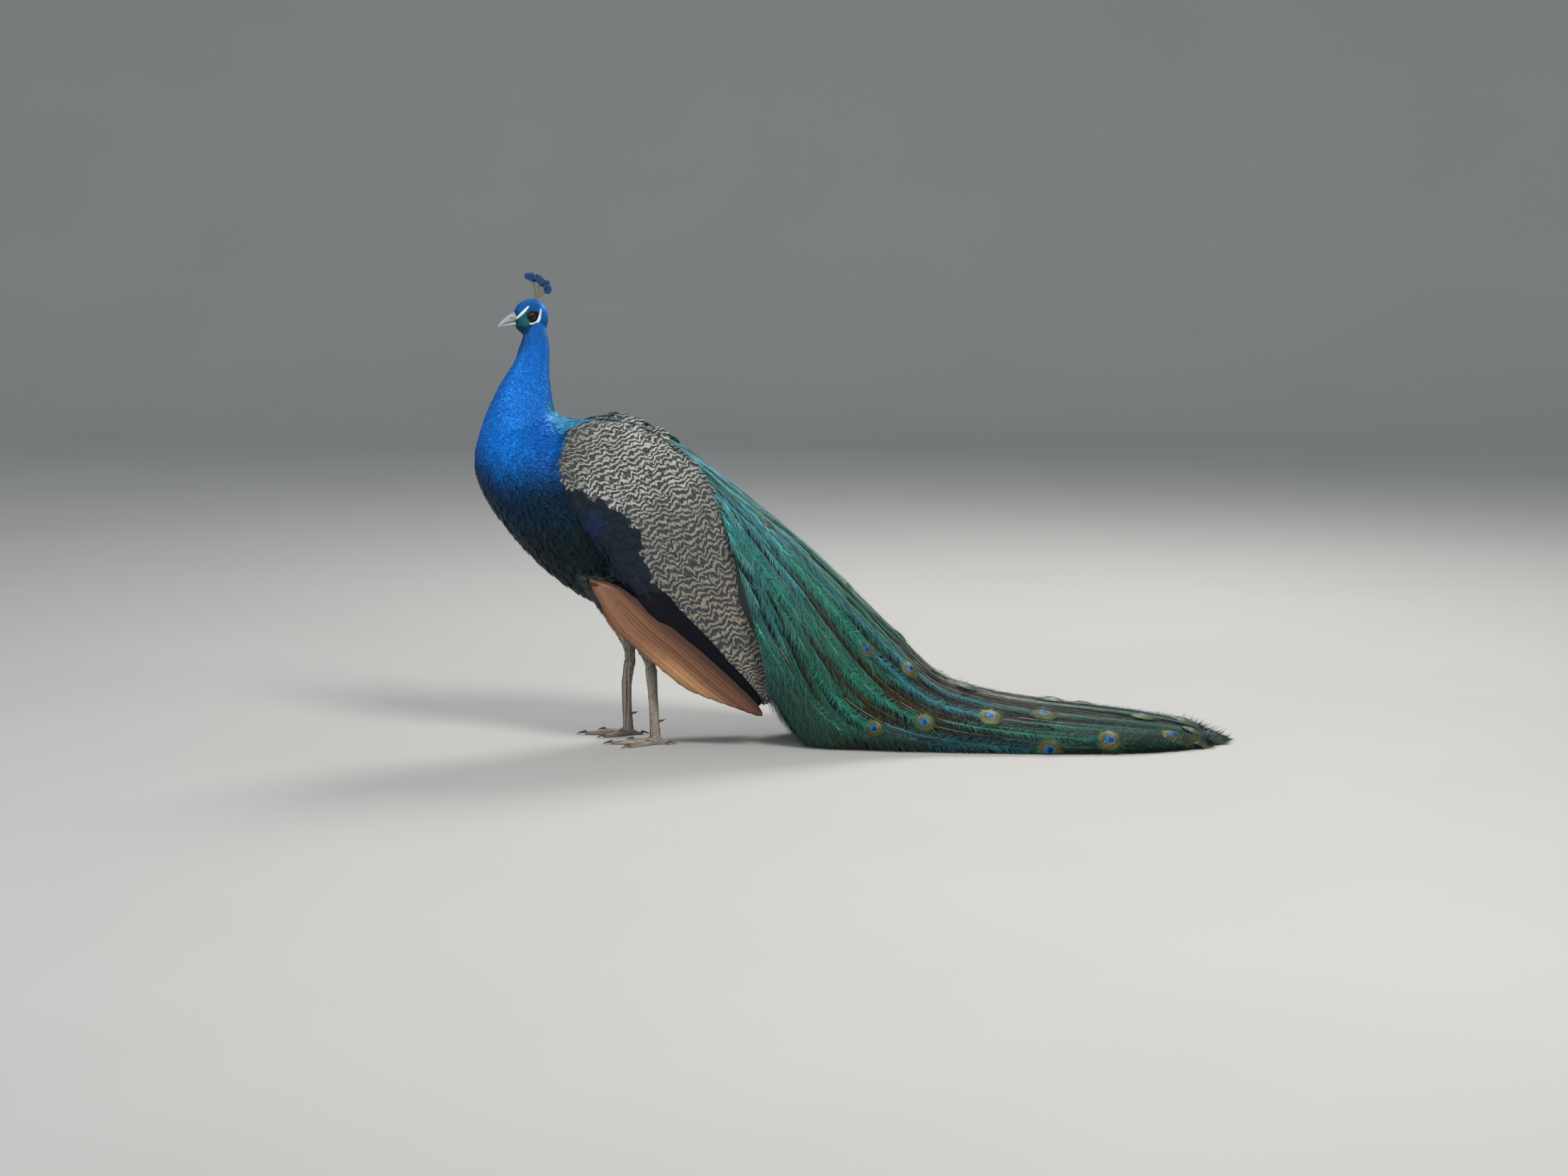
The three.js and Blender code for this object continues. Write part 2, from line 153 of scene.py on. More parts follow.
# Folded wing, shoulder to tip: lower edge x, y, z, upper edge x, y, z, half thickness.
WING: Rows = [
    (-208, 84, 562, -180, 78, 596, 11),
    (-190, 98, 508, -134, 70, 636, 23),
    (-138, 106, 446, -54, 62, 639, 28),
    (-92, 108, 372, 30, 66, 604, 27),
    (-52, 106, 312, 98, 74, 541, 23),
    (4, 102, 256, 144, 80, 458, 18),
    (72, 96, 196, 178, 82, 350, 13),
    (140, 90, 138, 208, 82, 244, 9),
    (190, 84, 98, 230, 80, 144, 5),
    (216, 80, 84, 232, 79, 102, 2.4),
]
PRIMARIES: Rows = [
    (-126, 104, 300, -116, 103, 330, 2.5),
    (-76, 107, 250, -62, 105, 312, 4),
    (6, 106, 178, 14, 104, 252, 4.5),
    (58, 102, 134, 76, 102, 200, 4),
    (108, 97, 95, 140, 97, 142, 3.5),
    (162, 92, 66, 190, 91, 93, 3),
    (206, 88, 48, 216, 87, 62, 2),
]
TAIL: Rows = [
    (84, 316, 108, 338, 30),
    (130, 240, 158, 262, 52),
    (186, 150, 214, 168, 74),
    (244, 60, 266, 76, 92),
    (278, 8, 296, 20, 96),
]
# Train: lower x, z, upper x, z, half width, share of the height where it is widest.
TRAIN: Rows = [
    (-14, 556, 2, 612, 44, 0.45),
    (24, 440, 70, 577, 84, 0.45),
    (84, 310, 161, 507, 104, 0.44),
    (148, 200, 255, 431, 118, 0.42),
    (216, 92, 346, 348, 128, 0.38),
    (292, 2, 430, 265, 138, 0.32),
    (372, -4, 503, 192, 147, 0.26),
    (470, -4, 568, 134, 156, 0.22),
    (580, -4, 648, 104, 164, 0.19),
    (700, -4, 740, 86, 170, 0.17),
    (820, -4, 840, 73, 172, 0.16),
    (930, -4, 940, 60, 160, 0.16),
    (1010, -4, 1016, 46, 132, 0.16),
    (1060, -3, 1062, 32, 102, 0.2),
    (1084, 0, 1083, 16, 72, 0.3),
    (1108, 0, 1107, 10, 44, 0.3),
    (1126, 0, 1125, 6, 18, 0.3),
]


def rows_at(rows: Rows, t: Array) -> Array:
    """Read a station table by a curve through every row.

    Args:
        rows: the stations.
        t: shares along the table, from 0 to 1.

    Returns:
        One interpolated row for each share.
    """
    table = np.array(rows, float)
    at = np.clip(np.asarray(t, float), 0, 1) * (len(table) - 1)
    i = np.minimum(at.astype(int), len(table) - 2)
    f = (at - i)[..., None]
    p, q, r, s = (table[np.clip(i + k, 0, len(table) - 1)] for k in (-1, 0, 1, 2))
    return q + 0.5 * f * (r - p + f * (2 * p - 5 * q + 4 * r - s + f * (3 * (q - r) + s - p)))


def edges_at(rows: Rows, t: Array) -> tuple[Array, Array, Array]:
    """Read a table whose rows begin with x, z, x, z: the two edges in the middle plane, and the rows."""
    row = rows_at(rows, t)
    low, high = (np.stack([row[..., i], row[..., 0] * 0, row[..., i + 1]], -1) for i in (0, 2))
    return low, high, row


def unit(v: Array) -> Array:
    """Scale vectors to length one."""
    return v / np.maximum(np.linalg.norm(v, axis=-1, keepdims=True), 1e-12)


def square_to(v: Array, normal: Array) -> Array:
    """Turn directions square to a normal."""
    return unit(v - normal * (v * normal).sum(-1, keepdims=True))


def ease(x: Array, low: float, high: float) -> Array:
    """Rise smoothly from 0 at low to 1 at high."""
    s = np.clip((np.asarray(x, float) - low) / (high - low), 0, 1)
    return s * s * (3 - 2 * s)


def mix(a: Array | Colour, b: Array | Colour, share: Array | float) -> Array:
    """Blend colours or sizes by a share for each point."""
    share = np.asarray(share, float)[..., None]
    return np.asarray(a, float) * (1 - share) + np.asarray(b, float) * share


class Anatomy:
    """Where the bird stands in the frame, and the axes of its head."""

    def __init__(self) -> None:
        """Read the place of the eyes from the frame."""
        lows, highs = zip(*(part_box(f"eye_{side}") for side in ("left", "right")))
        middle = (np.array(lows) + np.array(highs)).mean(axis=0) / 2
        self.shift = middle - np.array(HEAD_AT) * MM
        yaw, pitch = math.radians(HEAD_YAW), math.radians(HEAD_PITCH)
        flat = math.cos(pitch)
        self.forward = np.array([-flat * math.cos(yaw), -flat * math.sin(yaw), -math.sin(pitch)])
        self.left = np.array([math.sin(yaw), -math.cos(yaw), 0.0])
        up = np.cross(self.left, -self.forward)
        self.up = up if up[2] > 0 else -up

    def place(self, points: Array) -> Array:
        """Turn the bird's millimetres into the frame's metres."""
        return np.asarray(points, float) * MM + self.shift

    def local(self, points: Array) -> Array:
        """Turn the frame's metres into the bird's millimetres."""
        return (np.asarray(points, float) - self.shift) / MM

    def in_head(self, points: Array) -> Array:
        """Turn (forward, left, up) from between the eyes into the bird's millimetres."""
        points = np.asarray(points, float)
        return np.array(HEAD_AT) + points @ np.stack([self.forward, self.left, self.up])

    def place_in_head(self, points: Array) -> Array:
        """Turn (forward, left, up) from between the eyes into the frame's metres."""
        return self.place(self.in_head(points))

    def to_head(self, points: Array) -> Array:
        """Turn the bird's millimetres into (forward, left, up) from between the eyes."""
        points = np.asarray(points, float) - np.array(HEAD_AT)
        return points @ np.stack([self.forward, self.left, self.up]).T


# ---- Materials -------------------------------------------------------------------------------


class Nodes:
    """A short way to write a material's nodes."""

    def __init__(self, name: str) -> None:
        """Start an empty material with a principled surface."""
        self.material = bpy.data.materials.new(name)
        self.material.use_nodes = True
        self.tree = self.material.node_tree
        self.tree.nodes.clear()
        self.shader = self.add("ShaderNodeBsdfPrincipled")
        output = self.add("ShaderNodeOutputMaterial")
        self.tree.links.new(self.shader.outputs[0], output.inputs[0])

    def add(self, kind: str, inputs: dict | None = None, **settings: object) -> bpy.types.Node:
        """Add a node.

        Args:
            kind: the node's type.
            inputs: values or sockets for its inputs, by name or number.
            settings: the node's own properties.

        Returns:
            The node.
        """
        node = self.tree.nodes.new(kind)
        for key, value in settings.items():
            setattr(node, key, value)
        for key, value in (inputs or {}).items():
            self.put(node, key, value)
        return node

    def put(self, node: bpy.types.Node, key: str | int, value: object) -> None:
        """Set or link one input of a node.

        Args:
            node: the node.
            key: the input's name or number.
            value: a socket to link, or a plain value.
        """
        socket = node.inputs[key]
        if isinstance(value, Socket):
            self.tree.links.new(value, socket)
        elif isinstance(value, tuple) and len(value) == 3 and socket.type == "RGBA":
            socket.default_value = (*value, 1.0)
        else:
            socket.default_value = value

    def math(self, operation: str, a: object, b: object = 0.0, c: object = 0.0) -> Socket:
        """Combine numbers."""
        return self.add("ShaderNodeMath", {0: a, 1: b, 2: c}, operation=operation).outputs[0]

    def times(self, a: object, b: object) -> Socket:
        """The product of two numbers."""
        return self.math("MULTIPLY", a, b)

    def plus(self, a: object, b: object) -> Socket:
        """The sum of two numbers."""
        return self.math("ADD", a, b)

    def less(self, a: object, b: object) -> Socket:
        """The difference of two numbers."""
        return self.math("SUBTRACT", a, b)

    def scale_add(self, a: object, b: object, c: object) -> Socket:
        """One number times a second, plus a third."""
        return self.math("MULTIPLY_ADD", a, b, c)

    def size(self, a: object) -> Socket:
        """A number without its sign."""
        return self.math("ABSOLUTE", a)

    def blend(self, share: object, a: object, b: object, mode: str = "MIX") -> Socket:
        """Blend two colours.

        Args:
            share: how much of the second one.
            a: the first colour.
            b: the second colour.
            mode: the way they blend.

        Returns:
            The blended colour.
        """
        node = self.add("ShaderNodeMix", data_type="RGBA", blend_type=mode)
        for index, value in ((0, share), (6, a), (7, b)):
            self.put(node, index, value)
        return node.outputs[2]

    def scaled(self, colour: object, value: object) -> Socket:
        """Brighten or darken a colour by a number."""
        return self.add("ShaderNodeVectorMath", {0: colour, "Scale": value}, operation="SCALE").outputs[0]

    def place(self) -> Socket:
        """The Object coordinates."""
        return self.add("ShaderNodeTexCoord").outputs["Object"]

    def vector(self, operation: str, a: object, b: object = (0.0, 0.0, 0.0)) -> bpy.types.Node:
        """Combine vectors; the result is the node's first output, or its second for a number."""
        return self.add("ShaderNodeVectorMath", {0: a, 1: b}, operation=operation)

    def bars(self, origin: float, arch: object = 0.0) -> Socket:
        """The wavy black bars across the wing, finer towards the shoulder.

        Args:
            origin: where the bird's own zero lies along x, in metres.
            arch: how far the bars bend on one feather, in bars.

        Returns:
            1 on a bar and 0 between bars.
        """
        place = self.place()
        x, y, z = self.add("ShaderNodeSeparateXYZ", {0: place}).outputs
        x = self.less(x, origin)
        run = self.less(self.times(z, 0.92), self.times(x, 0.38))
        side = self.plus(self.times(x, 0.92), self.times(z, 0.38))
        phase = self.scale_add(run, 72.0, arch)
        # The bars crowd towards the shoulder and towards the tip.
        for sign, start, rate in ((1.0, 0.3, 60.0), (-1.0, 0.13, -330.0)):
            past = self.math("MAXIMUM", self.times(self.less(run, start), sign), 0.0)
            phase = self.scale_add(self.times(past, past), rate, phase)
        # Neighbouring bars swing together, so the waves are drawn out across the bars.
        drawn = {0: side, 1: self.times(y, 0.4), 2: self.times(run, 0.4)}
        swing = self.add("ShaderNodeCombineXYZ", drawn)
        for scale, amount, vector in ((62.0, 3.2, swing.outputs[0]), (210.0, 0.5, place)):
            shift = self.less(self.noise(scale, 1.0, vector), 0.5)
            phase = self.scale_add(shift, amount, phase)
        return self.band(self.math("SINE", self.times(phase, 2 * math.pi)), -0.7, 0.25)

    def noise(self, scale: float, detail: float = 2.0, vector: object = None) -> Socket:
        """A noise value on Object coordinates, or on another vector."""
        vector = vector or self.place()
        return self.add("ShaderNodeTexNoise", {"Vector": vector, "Scale": scale, "Detail": detail}).outputs[0]

    def ramp(self, value: object, stops: list[tuple[float, Colour]]) -> Socket:
        """Turn a number into a colour by stops.

        Args:
            value: the number.
            stops: places on the ramp with their colours.

        Returns:
            The colour.
        """
        node = self.add("ShaderNodeValToRGB", {0: value})
        points = node.color_ramp.elements
        while len(points) < len(stops):
            points.new(0.5)
        for point, (at, colour) in zip(points, stops):
            point.position = at
            point.color = (*colour, 1.0)
        return node.outputs[0]

    def band(self, value: object, low: float, high: float) -> Socket:
        """Rise from 0 to 1 as a value goes from low to high."""
        node = self.add("ShaderNodeMapRange", {0: value, 1: low, 2: high, 3: 0.0, 4: 1.0})
        node.interpolation_type = "SMOOTHSTEP"
        return node.outputs[0]

    def vane(self) -> tuple[Socket, Socket]:
        """The place across and along a feather."""
        uv = self.add("ShaderNodeUVMap", uv_map="Vane").outputs[0]
        parts = self.add("ShaderNodeSeparateXYZ", {0: uv}).outputs
        return parts[0], parts[1]

    def tint(self) -> Socket:
        """The feather's own colour."""
        return self.add("ShaderNodeAttribute", attribute_name="tint").outputs["Color"]

    def bump(self, height: object, distance: float, strength: float = 1.0) -> None:
        """Give the surface relief in metres."""
        node = self.add("ShaderNodeBump", {"Height": height, "Distance": distance, "Strength": strength})
        self.put(self.shader, "Normal", node.outputs[0])

    def surface(self, **values: object) -> Material:
        """Set the shader's inputs, with underscores for spaces, and return the material."""
        for key, value in values.items():
            self.put(self.shader, key.replace("_", " "), value)
        return self.material


@dataclass(frozen=True)
class VaneFinish:
    """A feather web: fine slanting barbs and a shaft line over the feather's own tint."""

    name: str
    roughness: float = 0.5
    metallic: float = 0.25
    barbs: float = 6.0
    contrast: float = 0.3
    shaft: Colour = (0.02, 0.02, 0.02)
    shaft_share: float = 0.0
    sheen: float = 0.2
    sheen_tint: Colour = (0.4, 0.6, 0.9)
    edge: float = 0.0
    relief: float = 0.0003
    shine: float = 0.5

    def build(self) -> Material:
        """Make the material."""
        n = Nodes(self.name)
        across, along = n.vane()
        off = n.size(n.less(across, 0.5))
        slant = n.scale_add(off, -0.9, along)
        barb = n.math("SINE", n.times(slant, self.barbs * 2 * math.pi))
        shade = n.scale_add(barb, 0.5 * self.contrast, 1.0 - 0.4 * self.contrast)
        web = n.scaled(n.tint(), n.times(shade, n.scale_add(n.noise(160.0), 0.5, 0.75)))
        line = n.times(n.band(off, 0.05, 0.015), self.shaft_share)
        colour = n.blend(line, web, self.shaft)
        if self.edge:
            colour = n.blend(n.times(n.band(along, 0.7, 1.0), self.edge), colour, (0.0, 0.0, 0.0))
        n.bump(n.plus(barb, n.times(line, 3.0)), self.relief, 0.6)
        return n.surface(
            Base_Color=colour,
            Roughness=self.roughness,
            Metallic=self.metallic,
            Specular_IOR_Level=self.shine,
            Sheen_Weight=self.sheen,
            Sheen_Roughness=0.4,
            Sheen_Tint=self.sheen_tint,
        )


@dataclass(frozen=True)
class BarredFinish:
    """Buff coverts with wavy black bars that run on from feather to feather."""

    name: str
    origin: float
    black: Colour = (0.038, 0.041, 0.046)

    def build(self) -> Material:
        """Make the material."""
        n = Nodes(self.name)
        across, along = n.vane()
        off = n.size(n.less(across, 0.5))
        # Each feather's bars bend towards its tip at the edges and are a little out of step.
        arch = n.scale_add(n.tint(), 2.8, n.times(n.math("POWER", off, 2.0), 2.2))
        ground = n.scaled(n.tint(), n.scale_add(n.noise(300.0), 0.6, 0.7))
        # Painted shade: a dark band along each feather's tip, so overlapping coverts stand apart.
        rim = n.band(along, 0.86, 1.0)
        barred = n.times(n.bars(self.origin, arch), n.band(n.tint(), 0.03, 0.1))
        colour = n.blend(barred, ground, self.black)
        colour = n.blend(n.times(rim, 0.4), colour, n.scaled(n.tint(), 0.55))
        barb = n.math("SINE", n.times(n.scale_add(off, -0.9, along), 130.0))
        n.bump(barb, 0.0002, 0.5)
        return n.surface(
            Base_Color=colour,
            Roughness=0.7,
            Specular_IOR_Level=0.2,
            Sheen_Weight=0.04,
            Sheen_Roughness=0.5,
        )


@dataclass(frozen=True)
class EyeSpotFinish:
    """The ringed eye at the end of a train feather, drawn on a disc's own map."""

    name: str = "train_eye_rings"

    def build(self) -> Material:
        """Make the material."""
        n = Nodes(self.name)
        across, along = n.vane()
        x = n.less(across, 0.5)

        def reach(height: object) -> Socket:
            """Twice the distance from a centre at some height."""
            y = n.less(along, height)
            return n.times(n.math("SQRT", n.plus(n.times(x, x), n.times(y, y))), 2.0)

        # The heart-shaped centre sits a little towards the tip, with a notch below it.
        low = n.less(along, 0.53)
        notch = n.times(n.band(n.size(x), 0.07, 0.0), n.band(low, 0.0, -0.1))
        heart = n.plus(reach(0.53), n.times(notch, 0.16))
        rough = n.times(n.less(n.noise(450.0), 0.5), 0.09)
        rings = n.ramp(
            n.plus(reach(0.5), rough),
            [
                (0.0, (0.0, 0.105, 0.27)),
                (0.35, (0.0, 0.125, 0.28)),
                (0.41, (0.03, 0.12, 0.10)),
                (0.47, (0.11, 0.062, 0.018)),
                (0.64, (0.10, 0.066, 0.016)),
                (0.72, (0.10, 0.12, 0.03)),
                (0.8, (0.02, 0.09, 0.045)),
                (0.9, (0.07, 0.11, 0.025)),
                (1.0, (0.015, 0.07, 0.035)),
            ],
        )
        inner = n.blend(n.band(heart, 0.26, 0.2), rings, (0.004, 0.008, 0.10))
        barb = n.math("SINE", n.times(n.math("ARCTAN2", x, n.less(along, 0.3)), 60.0))
        colour = n.scaled(inner, n.scale_add(barb, 0.12, 0.88))
        n.bump(barb, 0.0002, 0.4)
        return n.surface(Base_Color=colour, Roughness=0.42, Metallic=0.35, Specular_IOR_Level=0.3)


@dataclass(frozen=True)
class HornFinish:
    """Bill, claw and spur horn, with growth lines and wear, over the piece's own tint."""

    name: str
    worn: Colour
    roughness: float = 0.42

    def build(self) -> Material:
        """Make the material."""
        n = Nodes(self.name)
        colour = n.blend(n.times(n.noise(420.0, 4.0), 0.6), n.tint(), self.worn)
        lines = n.noise(1400.0, 2.0)
        n.bump(lines, 0.00012, 0.5)
        rough = n.scale_add(lines, 0.25, self.roughness - 0.1)
        return n.surface(Base_Color=colour, Roughness=rough, Coat_Weight=0.15, Coat_Roughness=0.3)


@dataclass(frozen=True)
class SkinFinish:
    """The bird's skin, coloured by its tint (the coat's colour with painted shade) and barred as the coat
    over it, with fine grain.
    """

    name: str
    origin: float = 0.0

    def build(self) -> Material:
        """Make the material."""
        n = Nodes(self.name)
        cells = n.add("ShaderNodeTexVoronoi", {"Vector": n.place(), "Scale": 900.0}).outputs[0]
        fine = n.noise(700.0, 3.0)
        colour = n.scaled(n.tint(), n.scale_add(fine, 0.5, 0.75))
        if self.origin:
            wing = n.add("ShaderNodeAttribute", attribute_name="barred").outputs["Fac"]
            colour = n.blend(n.times(n.bars(self.origin), wing), colour, (0.016, 0.015, 0.017))
        n.bump(n.plus(cells, fine), 0.0003, 0.5)
        return n.surface(Base_Color=colour, Roughness=0.62, Subsurface_Weight=0.05, Subsurface_Scale=0.002)


@dataclass(frozen=True)
class ScuteFinish:
    """Horny plates on the legs."""

    name: str = "leg_scutes"

    def build(self) -> Material:
        """Make the material."""
        n = Nodes(self.name)
        _, along = n.vane()
        base = n.scaled(n.tint(), n.scale_add(n.noise(260.0, 4.0), 0.7, 0.62))
        colour = n.blend(n.times(n.band(along, 0.55, 1.0), 0.4), base, (0.42, 0.37, 0.29))
        n.bump(n.noise(1500.0, 3.0), 0.0002, 0.5)
        return n.surface(Base_Color=colour, Roughness=0.55, Coat_Weight=0.08)


@dataclass(frozen=True)
class EyeFinish:
    """A dark brown iris round a black pupil, under a wet coat."""

    name: str
    axis: Colour
    centre: Colour

    def build(self) -> Material:
        """Make the material."""
        n = Nodes(self.name)
        towards = n.vector("NORMALIZE", n.vector("SUBTRACT", n.place(), self.centre).outputs[0])
        facing = n.vector("DOT_PRODUCT", towards.outputs[0], self.axis).outputs[1]
        rings = n.ramp(
            n.math("DIVIDE", n.math("ARCCOSINE", facing), math.pi / 2),
            [
                (0.0, (0.002, 0.001, 0.001)),
                (0.23, (0.002, 0.001, 0.001)),
                (0.27, (0.055, 0.010, 0.006)),
                (0.46, (0.024, 0.005, 0.004)),
                (0.52, (0.004, 0.003, 0.003)),
                (1.0, (0.004, 0.003, 0.003)),
            ],
        )
        iris = n.scaled(rings, n.scale_add(n.noise(1800.0, 3.0), 0.7, 0.65))
        return n.surface(
            Base_Color=iris,
            Roughness=0.4,
            Specular_IOR_Level=0.0,
            Coat_Weight=0.55,
            Coat_Roughness=0.03,
        )


# ---- Meshes ----------------------------------------------------------------------------------


def new_object(name: str, points: Array, faces: list | Array) -> Piece:
    """Make a mesh object at the origin and link it to the scene.

    Args:
        name: the object's name.
        points: its points.
        faces: its faces as point numbers.

    Returns:
        The object.
    """
    mesh = bpy.data.meshes.new(name)
    if isinstance(faces, Array):
        faces = faces.tolist()
    mesh.from_pydata(np.asarray(points, float).tolist(), [], faces)
    mesh.update()
    made = bpy.data.objects.new(name, mesh)
    bpy.context.scene.collection.objects.link(made)
    return made


def evaluated_copy(source: Piece, name: str) -> Piece:
    """Turn an object with modifiers into a plain mesh object and remove the first one.

    Args:
        source: the object with modifiers.
        name: the new object's name.

    Returns:
        The plain object.
    """
    graph = bpy.context.evaluated_depsgraph_get()
    mesh = bpy.data.meshes.new_from_object(
        source.evaluated_get(graph), preserve_all_data_layers=True, depsgraph=graph
    )
    mesh.name = name
    bpy.data.objects.remove(source)
    made = bpy.data.objects.new(name, mesh)
    bpy.context.scene.collection.objects.link(made)
    return made


def finish(piece: Piece, slot: str, material: Material | None = None) -> Piece:
    """Smooth a piece, dress it, and tie it to the bird.

    Args:
        piece: the piece.
        slot: not used.
        material: its material, if it has none yet.

    Returns:
        The same piece.
    """
    piece.data.shade_smooth()
    if material:
        piece.data.materials.clear()
        piece.data.materials.append(material)
    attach(piece, "root")
    LOG.info("%s: %d triangles", piece.name, sum(len(p.vertices) - 2 for p in piece.data.polygons))
    return piece


def points_of(mesh: Mesh, what: str = "co") -> Array:
    """A mesh's points, or its normals at them."""
    values = np.empty(len(mesh.vertices) * 3, np.float32)
    mesh.vertices.foreach_get(what, values)
    return values.reshape(-1, 3).astype(float)


def move(mesh: Mesh, points: Array) -> None:
    """Put a mesh's points at new places."""
    mesh.vertices.foreach_set("co", points.astype(np.float32).ravel())
    mesh.update()


def off_floor(piece: Piece) -> Piece:
    """Keep a piece just above the floor.

    Args:
        piece: the piece.

    Returns:
        The same piece.
    """
    points = points_of(piece.data)
    low = points[:, 2] < FLOOR_GAP
    points[low, 2] = FLOOR_GAP + 2 * FLOOR_GAP * np.abs(np.sin(points[low, 0] * 4000))
    move(piece.data, points)
    return piece


@dataclass
class Sheets:
    """Grids of points gathered into one mesh with a vane map, a bake map and tints."""

    points: list[Array] = field(default_factory=list)
    faces: list[Array] = field(default_factory=list)
    vane: list[Array] = field(default_factory=list)
    bake: list[Array] = field(default_factory=list)
    tint: list[Array] = field(default_factory=list)
    count: int = 0

    def grid(self, points: Array, tint: Array, bake: tuple[float, float], patch: tuple[float, float]) -> None:
        """Add a grid of rows along a feather and columns across it.

        Args:
            points: rows by columns by 3, in metres.
            tint: one colour, or rows by columns by 3.
            bake: the low corner of its patch on the bake map.
            patch: the patch's width and height.
        """
        rows, columns = points.shape[:2]
        self.points.append(points.reshape(-1, 3))
        v, u = np.meshgrid(np.linspace(0, 1, rows), np.linspace(0, 1, columns), indexing="ij")
        vane = np.stack([u, v], -1).reshape(-1, 2)
        self.vane.append(vane)
        self.bake.append(np.array(bake) + vane * np.array(patch))
        self.tint.append(np.broadcast_to(tint, (rows, columns, 3)).reshape(-1, 3))
        i = (np.arange(rows - 1)[:, None] * columns + np.arange(columns - 1)).ravel() + self.count
        self.faces.append(np.stack([i, i + 1, i + columns + 1, i + columns], 1))
        self.count += rows * columns

    def build(self, name: str) -> Piece:
        """Make the joined mesh."""
        made = new_object(name, np.concatenate(self.points), np.concatenate(self.faces))
        write_map(made.data, "OFBake", np.concatenate(self.bake))
        write_map(made.data, "Vane", np.concatenate(self.vane))
        set_tint(made.data, np.concatenate(self.tint))
        return made


def write_map(mesh: Mesh, name: str, places: Array) -> None:
    """Store a place on each point as a UV map."""
    loops = np.empty(len(mesh.loops), np.int32)
    mesh.loops.foreach_get("vertex_index", loops)
    mesh.uv_layers.new(name=name).data.foreach_set("uv", places[loops].astype(np.float32).ravel())


def keep_on_points(mesh: Mesh, name: str, kind: str, values: Array) -> None:
    """Store numbers, vectors or colours on a mesh's points.

    Args:
        mesh: the mesh.
        name: the attribute's name.
        kind: its data type.
        values: one value for each point.
    """
    field_name = {"FLOAT_VECTOR": "vector", "FLOAT_COLOR": "color"}.get(kind, "value")
    values = values.astype(np.int32 if kind == "INT" else np.float32).ravel()
    mesh.attributes.new(name, kind, "POINT").data.foreach_set(field_name, values)


def set_tint(mesh: Mesh, colours: Array) -> None:
    """Store a colour on each point."""
    layer = mesh.color_attributes.new(name="tint", type="FLOAT_COLOR", domain="POINT")
    full = np.concatenate([colours, np.ones((len(colours), 1))], 1)
    layer.data.foreach_set("color", full.astype(np.float32).ravel())


def loft(rings: Array) -> tuple[Array, list]:
    """Close a stack of rings into a body.

    Args:
        rings: rings by sides by 3.

    Returns:
        Its points and faces.
    """
    count, sides = rings.shape[:2]
    points = np.concatenate([rings.reshape(-1, 3), rings[:1].mean(1), rings[-1:].mean(1)])
    faces = []
    last = (count - 1) * sides
    for k in range(sides):
        after = (k + 1) % sides
        for r in range(0, last, sides):
            faces.append((r + k, r + after, r + sides + after, r + sides + k))
        faces += [(after, k, last + sides), (last + k, last + after, last + sides + 1)]
    return points, faces


def outward(piece: Piece) -> Piece:
    """Turn a closed mesh's faces outwards.

    Args:
        piece: a closed mesh.

    Returns:
        The same piece.
    """
    shape = bmesh.new()
    shape.from_mesh(piece.data)
    bmesh.ops.remove_doubles(shape, verts=shape.verts, dist=1e-7)
    bmesh.ops.recalc_face_normals(shape, faces=shape.faces)
    if shape.calc_volume(signed=True) < 0:
        bmesh.ops.reverse_faces(shape, faces=shape.faces)
    shape.to_mesh(piece.data)
    shape.free()
    return piece


# ---- Small feathers, barbs and plates, planted by one node tree -------------------------------


@dataclass
class Seeds:
    """Where each small feather grows, which way it lies, and its size and colour."""

    points: Array
    lie: Array
    facing: Array
    size: Array
    tint: Array
    bake: Array
    kind: Array

    @staticmethod
    def joined(parts: list["Seeds"]) -> "Seeds":
        """Put several sets together."""
        return Seeds(*(np.concatenate(values) for values in zip(*(vars(part).values() for part in parts))))

    def some(self, keep: Array) -> "Seeds":
        """The seeds that a mask keeps."""
        return Seeds(*(values[keep] for values in vars(self).values()))


class Shape(Enum):
    """The small pieces that are planted."""

    CONTOUR = "contour"
    FINE = "fine"
    BARB = "barb"
    HAIR = "hair"
    PLATE = "plate"
    EYE = "eye"


def sheet_object(name: str, points: Array) -> Piece:
    """One grid, rows by columns by 3, as a small mesh."""
    sheets = Sheets()
    sheets.grid(points, np.ones(3), (0, 0), (1, 1))
    return sheets.build(name)


def small_sheet(name: str, half_widths: list[float], tips: list[float], cup: float, arch: float) -> Piece:
    """A small feather one unit long, with its tip row drawn out into points.

    Args:
        name: the object's name.
        half_widths: half widths from root to tip.
        tips: how far the last row reaches at each column.
        cup: how far the edges bend down.
        arch: how far the tip bends down.

    Returns:
        The feather, lying along +Y with +Z outwards.
    """
    columns = np.linspace(-1, 1, len(tips))
    points = []
    for share, half in zip(np.linspace(0, 1, len(half_widths)), half_widths):
        reach = share * (1 - share**3 * (1 - np.array(tips)))
        drop = -cup * (columns * half * 2) ** 2 - arch * reach**2
        points.append(np.stack([columns * half, reach, drop], 1))
    return sheet_object(name, np.array(points))


def single_barb(name: str, hook: float, wave: float, rows: int) -> Piece:
    """One barb: a narrow strip with a bent tip.

    Args:
        name: the object's name.
        hook: how far its tip bends sideways.
        wave: how far its middle sways sideways.
        rows: how many rows of points it has.

    Returns:
        The barb, lying along +Y, BARB_UNIT wide.
    """
    s = np.linspace(0, 1, rows)
    middle = np.stack([hook * s**2 + wave * np.sin(2 * math.pi * s), s, -0.05 * s**2], 1)
    half = BARB_UNIT / 2 * np.interp(s, [0, 0.3, 0.8, 1], [1, 1, 0.7, 0.06])[:, None] * np.array([[1, 0, 0]])
    return sheet_object(name, np.stack([middle - half, middle + half], 1))


